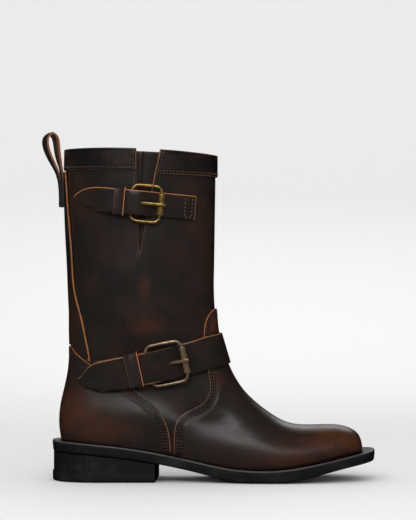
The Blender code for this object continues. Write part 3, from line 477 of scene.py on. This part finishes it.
# %% [markdown]
# Subdivision makes the skin smooth while its sharp edges stay creased. The border of the grain side is
# bevelled last, because a bevel made before the subdivision would be pulled a millimetre into the panel.

# %% Creased, smoothed and rounded
SUBDIVISIONS = 2
RIM_SEGMENTS = 2


def select_edges(piece, wanted):
    """Selects the edges between two faces that a test wants, and counts them."""
    shape = bmesh.new()
    shape.from_mesh(piece.data)
    for element in list(shape.verts) + list(shape.edges) + list(shape.faces):
        element.select = False
    count = 0
    for edge in shape.edges:
        if len(edge.link_faces) == 2 and wanted(edge):
            edge.select = True
            count += 1
    shape.select_mode = {"EDGE"}
    shape.to_mesh(piece.data)
    shape.free()
    return count


def is_border(edge):
    """True between the grain side and the cut edge."""
    return {f.material_index for f in edge.link_faces} == {GRAIN, EDGE}


def crease_sharp(piece):
    """Keeps what is still sharp from being rounded by the subdivision."""
    shape = bmesh.new()
    shape.from_mesh(piece.data)
    layer = shape.edges.layers.float.get("crease_edge") or shape.edges.layers.float.new("crease_edge")
    for edge in shape.edges:
        if len(edge.link_faces) == 2 and edge.calc_face_angle() > SHARP:
            edge[layer] = 1.0
    shape.to_mesh(piece.data)
    shape.free()


def subdivide(piece):
    """Makes a piece's faces smaller and rounder, and applies the modifier."""
    smooth = piece.modifiers.new("smooth", "SUBSURF")
    smooth.levels = SUBDIVISIONS
    smooth.render_levels = SUBDIVISIONS
    take(piece)
    bpy.ops.object.modifier_apply(modifier=smooth.name)


def shade(piece):
    """Smooth shading that stops at sharp edges."""
    take(piece)
    bpy.ops.object.shade_smooth_by_angle(angle=SHARP)


def round_rim(piece, width, material):
    """Bevels the selected edges."""
    take(piece)
    bpy.context.tool_settings.mesh_select_mode = (False, True, False)
    bpy.ops.object.mode_set(mode="EDIT")
    bpy.ops.mesh.bevel(offset=width * MM, segments=RIM_SEGMENTS, profile=0.5, affect="EDGES",
                       clamp_overlap=True, material=material)
    bpy.ops.object.mode_set(mode="OBJECT")


print("each face becomes", 4 ** SUBDIVISIONS, "faces")

# %% [markdown]
# One function now dresses a node, and each leather piece is one line: its materials, the thickness that
# tells its cut edge, the nodes that its flesh side looks at, and how near they are. The upper looks at
# itself across the leg, so its inside becomes the lining.

# %% Leather pieces
LEATHER_RIM = 0.25
WALLS = ("upper", "vamp", "heel_counter", "back_stay")
LOOP_WALLS = ("upper", "back_stay", "collar_band", "pull_loop")
STRAP_SIDES = (STRAP_GRAIN, CUT_EDGE, NAPPED)
KEEPER_SIDES = (KEEPER_GRAIN, CUT_EDGE, NAPPED)
ACROSS_THE_LEG = 400.0


def dress(node, materials, thickness=1.5, under=("upper",), reach=14.0):
    """The finished leather piece for a node, before its creases. Its wall is thinner than thickness."""
    piece = merged_copy(node)
    for material in materials:
        piece.data.materials.append(material)
    sort_faces(piece, thickness, under, reach)
    crease_sharp(piece)
    subdivide(piece)
    if select_edges(piece, is_border):
        round_rim(piece, LEATHER_RIM, EDGE)
    shade(piece)
    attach(piece, "root")
    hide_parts(node)
    return piece


leather = {
    "upper": dress("upper", (SHAFT_GRAIN, CUT_EDGE, LINING), 3.0, ("upper", "gusset"), ACROSS_THE_LEG),
    "vamp": dress("vamp", (VAMP_GRAIN, CUT_EDGE, NAPPED)),
    "heel_counter": dress("heel_counter", (COUNTER_GRAIN, CUT_EDGE, NAPPED)),
    "back_stay": dress("back_stay", (STAY_GRAIN, CUT_EDGE, NAPPED)),
    "collar_band": dress("collar_band", (BAND_GRAIN, CUT_EDGE, NAPPED)),
    "gusset": dress("gusset", (SHAFT_GRAIN, CUT_EDGE, NAPPED), under=()),
    "pull_loop": dress("pull_loop", (LOOP_GRAIN, CUT_EDGE, NAPPED), 2.4, LOOP_WALLS, 18.0),
}
for strap in ("top", "instep"):
    leather[strap + "_strap"] = dress(strap + "_strap", STRAP_SIDES, 2.8, WALLS)
    leather[strap + "_chape"] = dress(strap + "_chape", STRAP_SIDES, 2.0, WALLS)
    leather[strap + "_keeper"] = dress(strap + "_keeper", KEEPER_SIDES, 2.0, WALLS)
for name, piece in leather.items():
    print(name, len(piece.data.polygons), "faces")

# %% [markdown]
# ## Creases
# Leather that has been lasted and worn a little isn't a machined surface. Soft troughs lie across the
# ankle, where the shaft bends, and across the vamp behind the toes. Each one is a line in side view
# with its own width and depth, and all pieces that lie on each other move by the same amount, so
# nothing breaks through. A depth below zero is a trough, and side is -1 on the outer side of the boot.

# %% Soft troughs and ridges
Fold = namedtuple("Fold", "x0 z0 x1 z1 width depth side")
ANKLE_FOLDS = (
    Fold(-4, 128, -46, 142, 9, -0.9, -1),
    Fold(4, 146, -34, 160, 10, 0.7, -1),
    Fold(-20, 166, -74, 158, 12, -0.7, -1),
    Fold(-70, 184, -116, 176, 13, 0.6, -1),
    Fold(-118, 148, -84, 134, 9, -0.7, -1),
    Fold(6, 176, -24, 182, 11, -0.6, -1),
    Fold(-4, 128, -46, 138, 9, -0.9, 1),
    Fold(-20, 160, -80, 154, 12, -0.8, 1),
    Fold(-116, 150, -80, 138, 9, -0.7, 1),
)
VAMP_FOLDS = (
    Fold(38, 62, 24, 46, 8, -0.2, -1),
    Fold(52, 56, 36, 38, 8, 0.2, -1),
    Fold(66, 50, 54, 34, 8, -0.2, -1),
    Fold(40, 62, 26, 46, 8, -0.6, 1),
    Fold(66, 50, 54, 34, 8, -0.5, 1),
    Fold(14, 92, 4, 74, 9, 0.4, -1),
)
SHAFT_FOLDS = (
    Fold(-40, 214, -20, 236, 12, 0.5, -1),
    Fold(-104, 226, -76, 206, 12, -0.5, -1),
)
FOLDS = ANKLE_FOLDS + VAMP_FOLDS + SHAFT_FOLDS
SIDE_BLEND = 12.0
LEG_AXIS = (-50.0, 3.0)


def fold_heights(points):
    """How far each point (in mm) moves away from the leg's axis."""
    total = np.zeros(len(points))
    for fold in FOLDS:
        start = np.array((fold.x0, fold.z0))
        run = np.array((fold.x1, fold.z1)) - start
        flat = points[:, (0, 2)] - start
        share = np.clip(flat @ run / (run @ run), 0, 1)
        away = np.linalg.norm(flat - share[:, None] * run, axis=1)
        side = np.clip(0.5 + fold.side * points[:, 1] / (2 * SIDE_BLEND), 0, 1)
        total += fold.depth * np.exp(-(away / fold.width) ** 2) * side
    return total


def add_folds(piece):
    """Moves a piece's points level, away from the leg's axis or towards it."""
    mesh = piece.data
    points = np.empty(len(mesh.vertices) * 3)
    mesh.vertices.foreach_get("co", points)
    points = points.reshape(-1, 3)
    outwards = points - np.array((LEG_AXIS[0] * MM, LEG_AXIS[1] * MM, 0))
    outwards[:, 2] = 0
    outwards /= np.maximum(np.linalg.norm(outwards, axis=1), 1e-6)[:, None]
    points += outwards * (fold_heights(points / MM) * MM)[:, None]
    mesh.vertices.foreach_set("co", points.reshape(-1))
    mesh.update()


for piece in leather.values():
    add_folds(piece)
print(len(FOLDS), "folds on", len(leather), "pieces")

# %% [markdown]
# ## The cut edges
# Not every edge is bare: the maker inks some of them, and the photograph shows which. On the back stay,
# the top strap and the instep strap, edges that face down also keep the dark coat, as painted shade. So a
# function for each piece says how raw an edge is, from the place p in millimetres and from the direction
# out that the edge looks in.


# %% How raw each edge is
def between(value, low, high):
    """0 at low, 1 at high, and straight between."""
    return min(max((value - low) / (high - low), 0.0), 1.0)


def upper_tone(p, out):
    """The slit's front edge is bare near its top."""
    if out.x < 0:
        return 0.16 + 0.64 * between(p.z, 236, 264)
    return 0.12 + 0.06 * between(p.z, 226, 216)


def vamp_tone(p, out):
    return 0.7 + 0.3 * max(between(p.z, 118, 126), between(p.z, 62, 50))


def counter_tone(p, out):
    """Bare behind the ankle and low down, inked between."""
    if p.x < -88 and p.z > 85:
        return 1.0
    return 0.25 + 0.75 * between(p.z, 66, 52)


# Edges that face down keep the dark coat: painted shade on the underside.
def stay_tone(p, out):
    return 0.75 * between(out.z, -0.8, -0.5)


def band_tone(p, out):
    """Bare at the slit, rubbed at the front of the collar, and half inked along the lower edge."""
    if abs(out.x) > 0.6 and p.y < 0 and -75 < p.x < -30:
        return 0.9 if out.x < 0 else 0.6
    if out.z > 0:
        return 0.12 + 0.3 * between(p.x, -26, -14)
    return 0.2 + 0.3 * between(p.x, -60, -30)


def gusset_tone(p, out):
    return 0.5


def loop_tone(p, out):
    return 0.5 * between(p.z, 268, 280)


# Edges that face down keep the dark coat: painted shade on the underside.
def top_strap_tone(p, out):
    return between(out.z, -0.35, 0.25)


def top_chape_tone(p, out):
    return 0.15 + 0.65 * between(p.x, -80, -74) * between(out.z, 0.2, 0.6)


def instep_strap_tone(p, out):
    """The upper edge is bare outside the buckle, the lower edge only where the strap enters it; elsewhere
    the lower edge, facing down, keeps the dark coat as painted shade.
    """
    in_buckle = between(p.x, -58, -54) * between(p.x, -22, -30)
    upper = between(out.z, -0.1, 0.4) * between(out.x, -0.75, -0.45) * (1 - 0.85 * in_buckle)
    lower = between(out.z, -0.5, -0.8) * between(p.x, -66, -60) * between(p.x, -40, -48)
    return 0.75 * upper + 0.6 * lower


def instep_chape_tone(p, out):
    return 0.15 + 0.6 * between(p.x, -64, -58) * between(-out.z, 0.2, 0.6)


def keeper_tone(p, out):
    return 0.1 + 0.9 * between(out.x, 0.2, 0.6)


EDGE_TONES = {
    "upper": upper_tone, "vamp": vamp_tone, "heel_counter": counter_tone, "back_stay": stay_tone,
    "collar_band": band_tone, "gusset": gusset_tone, "pull_loop": loop_tone,
    "top_strap": top_strap_tone, "top_chape": top_chape_tone, "top_keeper": keeper_tone,
    "instep_strap": instep_strap_tone, "instep_chape": instep_chape_tone, "instep_keeper": keeper_tone,
}
print("edge tones for", len(EDGE_TONES), "pieces")

# %% [markdown]
# The worn line along an edge and the channels under the stitches follow the panel's own border, so every
# point stores how far it is from that border, and how raw the border is there. The edges down at the
# welt don't count, because the welt hides them.

# %% The attributes from_edge and edge_tone
WELT_LINE = ((-140, 36.6), (-88, 32.6), (-44, 26.0), (-3, 17.0),
             (38, 11.2), (74, 12.9), (105, 18.8), (150, 27.6))
EDGE_CLEAR = 2.5
BORDER_STEP = 0.3
FAR_FROM_EDGE = 99.0


def above_welt(clearance):
    """Keeps the stretches of a border that are clear of the welt."""
    xs, zs = zip(*WELT_LINE)
    return lambda p: p.z > np.interp(p.x, xs, zs) + clearance


def border_edges(piece):
    """Each border edge's two points and the direction across it into the grain side."""
    shape = bmesh.new()
    shape.from_mesh(piece.data)
    found = []
    for edge in shape.edges:
        if len(edge.link_faces) == 2 and is_border(edge):
            face = next(f for f in edge.link_faces if f.material_index == GRAIN)
            start, end = edge.verts[0].co, edge.verts[1].co
            into = face.normal.cross(end - start).normalized()
            if into.dot(face.calc_center_median() - start) < 0:
                into = -into
            found.append((edge.verts[0].index, edge.verts[1].index, into))
    shape.free()
    return found


def search_tree(points):
    tree = KDTree(max(len(points), 1))
    for k, point in enumerate(points):
        tree.insert(point, k)
    tree.balance()
    return tree


def store_edges(piece, tone, counts):
    """Writes the attributes from_edge, in mm, and edge_tone."""
    mesh = piece.data
    points, tones, counted = [], [], []
    for a, b, into in border_edges(piece):
        start, end = mesh.vertices[a].co, mesh.vertices[b].co
        steps = max(int((end - start).length / (BORDER_STEP * MM)), 1)
        stretch = [start.lerp(end, k / steps) for k in range(steps)]
        here = (start + end) / 2 / MM
        points += stretch
        if counts(here):
            counted += stretch
            tones += [tone(here, -into)] * steps
        else:
            tones += [0.0] * steps
    border, whole = search_tree(counted), search_tree(points)
    distances = [border.find(v.co)[2] / MM if counted else FAR_FROM_EDGE for v in mesh.vertices]
    nearest = [tones[whole.find(v.co)[1]] if points else 0.0 for v in mesh.vertices]
    mesh.attributes.new("from_edge", "FLOAT", "POINT").data.foreach_set("value", distances)
    mesh.attributes.new("edge_tone", "FLOAT", "POINT").data.foreach_set("value", nearest)


for name, piece in leather.items():
    store_edges(piece, EDGE_TONES[name], above_welt(EDGE_CLEAR))
print("edges stored on", len(leather), "pieces")

# %% [markdown]
# ## Stitching
# Seams are sewn with waxed thread about three millimetres a stitch: three rows along the counter and the
# vamp, one along the collar band and the slit, and boxes at the sewn ends of both straps and at the foot
# of the pull loop. One stitch is modelled, and each seam is one mesh of many copies laid along its row.

# %% One stitch
STITCH_PITCH = 2.9
STITCH_LENGTH = 1.6
STITCH_WIDTH = 0.9
STITCH_HEIGHT = STITCH_WIDTH * 0.8

bpy.ops.object.select_all(action="DESELECT")
bpy.ops.mesh.primitive_uv_sphere_add(segments=8, ring_count=5, radius=0.5)
pattern = bpy.context.active_object
bpy.ops.object.mode_set(mode="EDIT")
bpy.ops.mesh.select_all(action="SELECT")
bpy.ops.transform.rotate(value=math.radians(90), orient_axis="Y", center_override=(0, 0, 0))
bpy.ops.transform.resize(value=(STITCH_LENGTH, STITCH_WIDTH, STITCH_HEIGHT))
bpy.ops.object.mode_set(mode="OBJECT")
STITCH_POINTS = np.array([tuple(v.co) for v in pattern.data.vertices])
# A new sphere lists its faces in another order in each run, so they are sorted
STITCH_FACES = sorted(tuple(p.vertices) for p in pattern.data.polygons)
bpy.data.objects.remove(pattern)
print("one stitch has", len(STITCH_FACES), "faces")

# %% [markdown]
# The thread is dyed with the leather and rubbed with it. On the strap ends it has stayed brown, on the
# long seams and the collar it is darker, and on the pull loop nearly black. A fine noise stands for the
# twist.


# %% Waxed thread
def thread_material(name, colour, light):
    material, shader, place = start_material(name)
    twist = noise(place, scale=1400, detail=2, roughness=0.5)
    plug(shader, "Base Color", twist.rise(0.35, 0.7).tint(colour, light))
    plug(shader, "Roughness", 0.55 + twist * 0.2)
    plug(shader, "Normal", bump(twist, strength=0.4, depth=0.2))
    return material


DARK_THREAD = thread_material("dark_thread", (0.006, 0.0045, 0.004, 1), (0.020, 0.013, 0.011, 1))
BROWN_THREAD = thread_material("brown_thread", (0.070, 0.030, 0.022, 1), (0.21, 0.11, 0.085, 1))
SEAM_THREAD = thread_material("seam_thread", (0.036, 0.016, 0.010, 1), (0.115, 0.054, 0.036, 1))
FADED_THREAD = thread_material("faded_thread", (0.060, 0.030, 0.022, 1), (0.17, 0.09, 0.068, 1))
print("four threads ready")

# %% [markdown]
# A seam runs along the border of its panel, at a fixed distance from it. So the border's edges are joined
# to runs, and each run is moved into the panel, once for each row of stitches.

# %% Rows along a border
SHORTEST_RUN = 3


def border_runs(piece, keep):
    """The border's points in order, in runs, each point with the direction into the panel."""
    mesh = piece.data
    links, inward = {}, {}
    for a, b, into in border_edges(piece):
        if not keep((mesh.vertices[a].co + mesh.vertices[b].co) / 2 / MM):
            continue
        links.setdefault(a, []).append(b)
        links.setdefault(b, []).append(a)
        for k in (a, b):
            inward[k] = inward.get(k, Vector()) + into
    runs, seen = [], set()
    ends = [k for k in sorted(links) if len(links[k]) == 1]
    for first in ends + sorted(links):
        if first in seen:
            continue
        run, here = [], first
        while here is not None:
            seen.add(here)
            run.append((mesh.vertices[here].co.copy(), inward[here].normalized()))
            here = next((k for k in links[here] if k not in seen), None)
        if len(run) > SHORTEST_RUN:
            runs.append(run)
    return runs


def seam_rows(piece, offsets, keep):
    """Lines on the grain side at distances from the border."""
    rows = []
    for run in border_runs(piece, keep):
        for offset in offsets:
            rows.append([point + into * offset * MM for point, into in run])
    return rows


print("the vamp has", len(border_runs(leather["vamp"], above_welt(EDGE_CLEAR))), "border runs")

# %% [markdown]
# The boxes at the strap ends follow no border. They are drawn flat, as a sewer marks them with chalk, and
# thrown on the leather from one side, so they lie on its curve.

# %% Drawn rows
THROW = 0.3
BOX_STEP = 1.5


def grain_tree(piece):
    """A search tree over the grain side, for laying things on it."""
    mesh = piece.data
    faces = [tuple(p.vertices) for p in mesh.polygons if p.material_index == GRAIN]
    return BVHTree.FromPolygons([v.co for v in mesh.vertices], faces)


def box_rows(corners):
    """The sides of a stitched box, or of a part of one, as rows of close points."""
    rows = []
    for (x0, z0), (x1, z1) in zip(corners, corners[1:]):
        count = max(int(math.hypot(x1 - x0, z1 - z0) / BOX_STEP), 2)
        rows.append([(x0 + (x1 - x0) * k / count, z0 + (z1 - z0) * k / count) for k in range(count + 1)])
    return rows


def drawn_rows(piece, corners, towards):
    """A box thrown on the grain side. Each corner is two lengths across the throw."""
    tree = grain_tree(piece)
    towards = Vector(towards)
    across = Vector((abs(towards.y), abs(towards.x), 0))
    lines = []
    for row in box_rows(corners):
        line = []
        for flat, z in row:
            start = across * flat * MM + Vector((0, 0, z * MM)) - towards * THROW
            spot = tree.ray_cast(start, towards)[0]
            if spot:
                line.append(spot)
        if len(line) > 1:
            lines.append(line)
    return lines


print("boxes can be drawn")

# %% [markdown]
# Sewing walks along each row at the pitch of the stitches, turns a copy of the stitch to the surface and
# slants it a little, as a saddle stitch lies.

# %% Sewing
STITCH_SINK = 0.08
SLANT = 0.12


def even_steps(points):
    """Points at the pitch of the stitches along a line of points."""
    line = np.array([tuple(p) for p in points])
    lengths = np.concatenate(([0], np.cumsum(np.linalg.norm(np.diff(line, axis=0), axis=1))))
    count = max(int(lengths[-1] / (STITCH_PITCH * MM)), 1)
    wanted = np.linspace(0, lengths[-1], count + 1)
    return [Vector([np.interp(w, lengths, line[:, k]) for k in range(3)]) for w in wanted]


def stitch_at(tree, a, b, slant):
    """The points of one stitch between two places, laid on the surface."""
    spot, normal, _, _ = tree.find_nearest((a + b) / 2)
    if spot is None:
        return None
    along = (b - a) - normal * (b - a).dot(normal)
    if along.length < 1e-6:
        return None
    along = along.normalized()
    along = (along + normal.cross(along) * slant).normalized()
    turn = np.array((tuple(along), tuple(normal.cross(along)), tuple(normal)))
    return STITCH_POINTS * MM @ turn + np.array(spot + normal * STITCH_SINK * MM)


def sew(name, piece, rows, material, slant=SLANT):
    """Lays stitches along rows on a piece, as one mesh."""
    tree = grain_tree(piece)
    points, faces = [], []
    for row in rows:
        places = even_steps(row)
        for a, b in zip(places, places[1:]):
            stitch = stitch_at(tree, a, b, slant)
            if stitch is not None:
                start = len(points) * len(STITCH_POINTS)
                points.append(stitch)
                faces += [tuple(start + i for i in face) for face in STITCH_FACES]
    mesh = bpy.data.meshes.new(name)
    mesh.from_pydata(np.concatenate(points).tolist(), [], faces)
    mesh.materials.append(material)
    thread = bpy.data.objects.new(name, mesh)
    bpy.context.scene.collection.objects.link(thread)
    take(thread)
    bpy.ops.object.shade_smooth()
    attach(thread, "root")
    print(name, len(points), "stitches")


print("one stitch every", STITCH_PITCH, "mm")

# %% [markdown]
# Last come the seams themselves, each with its piece, its rows and its thread. The band is sewn along its
# lower edge and up both sides of the slit, with stitches that lie at a slant.

# %% All seams
FROM_OUTSIDE, FROM_INSIDE, FROM_BEHIND = (0, 1, 0), (0, -1, 0), (1, 0, 0)
STRAP_END_BOX = ((-13.6, 252.0), (-14.8, 235.0), (-20.8, 235.5), (-19.6, 252.5))
INSTEP_END_BOX = ((-63.7, 112.4), (-70.6, 111.0), (-65.7, 88.1), (-58.8, 89.5), (-63.7, 112.4))
LOOP_FOOT_BOX = ((-8.5, 248.0), (11.5, 248.0), (11.5, 272.0), (-8.5, 272.0), (-8.5, 248.0))
SLIT_ROW = ((-65.2, 276.0), (-65.0, 254.0))
SEAM_CLEAR = 4.0
BAND_SLANT = 1.0


def band_seam(p):
    """The band's lower edge, and its ends at the slit."""
    return p.z < 288 or -66 < p.x < -38 and p.y < 0


def sew_box(name, node, corners, towards, thread):
    sew(name, leather[node], drawn_rows(leather[node], corners, towards), thread)


def sew_seam(name, node, offsets, keep, thread, slant=SLANT):
    sew(name, leather[node], seam_rows(leather[node], offsets, keep), thread, slant)


sew_box("strap_end_stitches", "top_strap", STRAP_END_BOX, FROM_OUTSIDE, BROWN_THREAD)
sew_box("instep_end_stitches", "instep_strap", INSTEP_END_BOX, FROM_INSIDE, BROWN_THREAD)
sew_box("loop_stitches", "pull_loop", LOOP_FOOT_BOX, FROM_BEHIND, DARK_THREAD)
sew_seam("vamp_stitches", "vamp", SEAM_ROWS, above_welt(SEAM_CLEAR), SEAM_THREAD)
sew_seam("counter_stitches", "heel_counter", SEAM_ROWS, above_welt(SEAM_CLEAR), SEAM_THREAD)
sew_seam("band_stitches", "collar_band", BAND_ROWS, band_seam, FADED_THREAD, BAND_SLANT)
sew_box("slit_stitches", "upper", SLIT_ROW, FROM_OUTSIDE, FADED_THREAD)

# %% [markdown]
# ## Buckles
# Each buckle is bent from round wire, with a turned roller and a flat prong. The metal is plated to look
# old, bright where it is rubbed and brown in its hollows. A noise stands for the hollows, because they
# are too fine to model.


# %% Old brass
def brass_material(name, bright, dull):
    material, shader, place = start_material(name)
    stains = noise(place, scale=210, detail=4, roughness=0.65)
    scratches = noise(place, scale=900, detail=3, roughness=0.7)
    rubbed = stains.rise(0.28, 0.62)
    plug(shader, "Base Color", rubbed.tint(dull, bright))
    plug(shader, "Roughness", 0.42 - rubbed * 0.12 + (scratches - 0.5) * 0.18)
    plug(shader, "Normal", bump(scratches, strength=0.12, depth=0.15))
    shader.inputs["Metallic"].default_value = 0.92
    return material


TOP_BRASS = brass_material("top_brass", (0.90, 0.60, 0.20, 1), (0.34, 0.20, 0.06, 1))
INSTEP_BRASS = brass_material("instep_brass", (1.0, 0.72, 0.46, 1), (0.64, 0.43, 0.26, 1))
print("two brasses ready")

# %% [markdown]
# Hard pieces need no sorting into sides. A copy is smoothed like the leather, and a small bevel on chosen
# edges catches the light. The wire of the frames has no edge to bevel.

# %% Hard pieces
TOP, BOTTOM, CORNER = "top", "bottom", "corner"
FACES_UP = 0.7


def edge_kind(edge):
    """Where a sharp edge lies on a piece: along its top face, along its bottom face, or elsewhere."""
    if edge.calc_face_angle() < SHARP:
        return None
    ups = [f.normal.z for f in edge.link_faces]
    if max(ups) > FACES_UP:
        return TOP
    return BOTTOM if min(ups) < -FACES_UP else CORNER


def deselect_elements(mesh):
    """Clears the selection of a mesh's points, edges and faces."""
    for element in list(mesh.vertices) + list(mesh.edges) + list(mesh.polygons):
        element.select = False


def press_up(piece, height):
    """Raises a piece's upper faces until they meet the piece above."""
    take(piece)
    deselect_elements(piece.data)
    for face in piece.data.polygons:
        face.select = face.normal.z > FACES_UP
    bpy.context.tool_settings.mesh_select_mode = (False, False, True)
    bpy.ops.object.mode_set(mode="EDIT")
    bpy.ops.transform.translate(value=(0, 0, height * MM))
    bpy.ops.object.mode_set(mode="OBJECT")


def harden(node, materials, rim, kinds, where=lambda p: True, gap_above=0.0):
    """The finished hard piece for a node, with a bevel, in the last material, on some kinds of edge."""
    piece = merged_copy(node)
    if gap_above:
        press_up(piece, gap_above)
    for material in materials:
        piece.data.materials.append(material)

    def wanted(edge):
        return edge_kind(edge) in kinds and where((edge.verts[0].co + edge.verts[1].co) / 2 / MM)

    if kinds and select_edges(piece, wanted):
        round_rim(piece, rim, len(materials) - 1)
    crease_sharp(piece)
    subdivide(piece)
    shade(piece)
    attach(piece, "root")
    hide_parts(node)
    print(node, len(piece.data.polygons), "faces")


for strap, metal in (("top", TOP_BRASS), ("instep", INSTEP_BRASS)):
    harden(strap + "_buckle_frame", (metal,), 0, ())
    harden(strap + "_buckle_roller", (metal,), 0.35, (TOP, BOTTOM, CORNER))
    harden(strap + "_buckle_prong", (metal,), 0.45, (TOP, BOTTOM, CORNER))

# %% [markdown]
# ## Sole
# The welt, outsole and heel are trimmed together and dressed black with wax, so they share one finish:
# nearly black, satin, with fine marks of the trimming knife along the edge. The bevel on the welt's upper
# edge has a lighter colour of its own, a painted highlight for the bright line that the photograph shows
# there.


# %% Black edge dressing
DUST = (0.020, 0.019, 0.018, 1)


def dressing_material(name, colour, roughness):
    material, shader, place = start_material(name)
    trimming = noise(place, scale=90, detail=4, roughness=0.6, stretch=(0.5, 0.5, 6.0))
    dust = noise(place, scale=45, detail=5, roughness=0.65)
    specks = noise(place, scale=1300, detail=2, roughness=0.6)
    plug(shader, "Base Color", dust.rise(0.45, 0.85).tint(colour, DUST))
    plug(shader, "Roughness", roughness + (dust - 0.5) * 0.2 + (specks - 0.5) * 0.06)
    normal = bump(trimming, strength=0.25, depth=0.3)
    plug(shader, "Normal", bump(specks, strength=0.1, depth=0.15, under=normal))
    return material


WELT_BLACK = dressing_material("welt_black", (0.0075, 0.0072, 0.0074, 1), 0.36)
# A lighter colour on the welt's top bevel: a painted highlight.
WELT_HIGHLIGHT = dressing_material("welt_painted_highlight", (0.050, 0.046, 0.045, 1), 0.34)
SOLE_BLACK = dressing_material("sole_black", (0.0065, 0.0063, 0.0066, 1), 0.42)
LIFT_BLACK = dressing_material("lift_black", (0.0080, 0.0080, 0.0083, 1), 0.46)
print("four dressings ready")

# %% [markdown]
# The solids of the sole lie a small gap apart. On the real boot they are glued, pressed and waxed as one,
# so the outsole, the heel and its top lift are raised by that gap until they meet what is above them.
# Otherwise a black line would show between them.

# %% Sole pieces
HEEL_BREAST = -42.0
SOLE_GAP = 0.3
harden("welt", (WELT_BLACK, WELT_HIGHLIGHT), 0.8, (TOP,))
harden("outsole", (SOLE_BLACK,), 0.5, (BOTTOM,), lambda p: p.x > HEEL_BREAST, gap_above=SOLE_GAP)
harden("heel_block", (SOLE_BLACK,), 0.4, (CORNER,), gap_above=SOLE_GAP)
harden("heel_top_lift", (LIFT_BLACK,), 0.5, (BOTTOM, CORNER), gap_above=SOLE_GAP)
harden("insole", (LINING,), 0.6, (TOP,))

# %% [markdown]
# ## Studio
# The floor runs up into the backdrop in one sweep, as paper does in a studio, so no horizon shows. It is
# one plane: its back edge is drawn up to make the wall, and the fold between is bevelled to a round. The
# paper isn't seen in reflections, or the dark leather would turn grey.

# %% Floor and backdrop
FLOOR_WIDE = 16.0
FLOOR_FRONT = -9.0
WALL_AT = 2.6
WALL_HIGH = 4.0
SWEEP = 1.2
SWEEP_STEPS = 16
NEARLY = 0.01


def select_back_edges(mesh, highest):
    """Selects the edges at the back of the floor that are below a height."""
    bpy.context.tool_settings.mesh_select_mode = (False, True, False)
    deselect_elements(mesh)
    for edge in mesh.edges:
        ends = [mesh.vertices[i].co for i in edge.vertices]
        edge.select = all(p.y > WALL_AT - NEARLY and p.z < highest for p in ends)


bpy.ops.object.select_all(action="DESELECT")
bpy.ops.mesh.primitive_plane_add(size=1.0, location=(0, 0, 0))
floor = bpy.context.active_object
floor.name = "studio_floor"
bpy.ops.object.mode_set(mode="EDIT")
bpy.ops.mesh.select_all(action="SELECT")
bpy.ops.transform.resize(value=(FLOOR_WIDE, WALL_AT - FLOOR_FRONT, 1))
bpy.ops.transform.translate(value=(0, (WALL_AT + FLOOR_FRONT) / 2, 0))
bpy.ops.object.mode_set(mode="OBJECT")
select_back_edges(floor.data, NEARLY)
bpy.ops.object.mode_set(mode="EDIT")
bpy.ops.mesh.extrude_region_move(TRANSFORM_OT_translate={"value": (0, 0, WALL_HIGH)})
bpy.ops.object.mode_set(mode="OBJECT")
select_back_edges(floor.data, NEARLY)
bpy.ops.object.mode_set(mode="EDIT")
bpy.ops.mesh.bevel(offset=SWEEP, segments=SWEEP_STEPS, profile=0.5, affect="EDGES", clamp_overlap=True)
bpy.ops.object.mode_set(mode="OBJECT")
bpy.ops.object.shade_smooth()
print("floor has", len(floor.data.polygons), "faces")

# %% Paper
PAPER = (0.71, 0.708, 0.706, 1)
PAPER_LIGHT = (0.735, 0.733, 0.731, 1)
paper, shader, place = start_material("studio_paper")
fibre = noise(place, scale=600, detail=3, roughness=0.6)
plug(shader, "Base Color", fibre.tint(PAPER, PAPER_LIGHT))
plug(shader, "Roughness", 0.85 + fibre * 0.1)
shader.inputs["Specular IOR Level"].default_value = 0.1
floor.data.materials.append(paper)
floor.visible_glossy = False
print("paper ready")

# %% [markdown]
# An even white surround lights the boot from all sides, helped by a light above, a fill from the front and
# one for the backdrop. None of these shows in reflections. The gleams come from two lights alone: a softbox
# in front draws the long ones on the vamp and the counter, and a strip behind draws the line on the toe.

# %% Lights
Light = namedtuple("Light", "name place aim size power mirrored")
LIGHTS = (
    Light("overhead", (0.0, 0.0, 2.6), (0, 0.2, 0), (4.5, 2.4), 5, False),
    Light("front_fill", (0.0, -1.7, 0.85), (0, 0, 0.15), (2.4, 0.8), 9, False),
    Light("backdrop_light", (0.0, 0.6, 1.8), (0, 2.6, 1.8), (4.5, 0.6), 14, False),
    Light("front_softbox", (-0.2, -1.45, 0.97), (0, 0, 0.06), (1.0, 0.5), 6.8, True),
    Light("back_strip", (0.15, 1.9, 0.95), (0.1, 0, 0.06), (1.2, 0.4), 4.5, True),
)
SURROUND = 0.95

for row in LIGHTS:
    bpy.ops.object.light_add(type="AREA", location=row.place)
    light = bpy.context.active_object
    light.name = row.name
    light.data.shape = "RECTANGLE"
    light.data.size, light.data.size_y = row.size
    light.data.energy = row.power
    light.visible_glossy = row.mirrored
    light.rotation_euler = (Vector(row.aim) - Vector(row.place)).to_track_quat("-Z", "Y").to_euler()
world = bpy.data.worlds.new("studio")
world.use_nodes = True
world.node_tree.nodes["Background"].inputs["Color"].default_value = (1, 1, 1, 1)
world.node_tree.nodes["Background"].inputs["Strength"].default_value = SURROUND
world.cycles_visibility.glossy = False
bpy.context.scene.world = world
bpy.context.scene.view_settings.view_transform = "Standard"
print(len(LIGHTS), "lights ready")

# %% [markdown]
# ## End

# %% End
print("boot dressed")
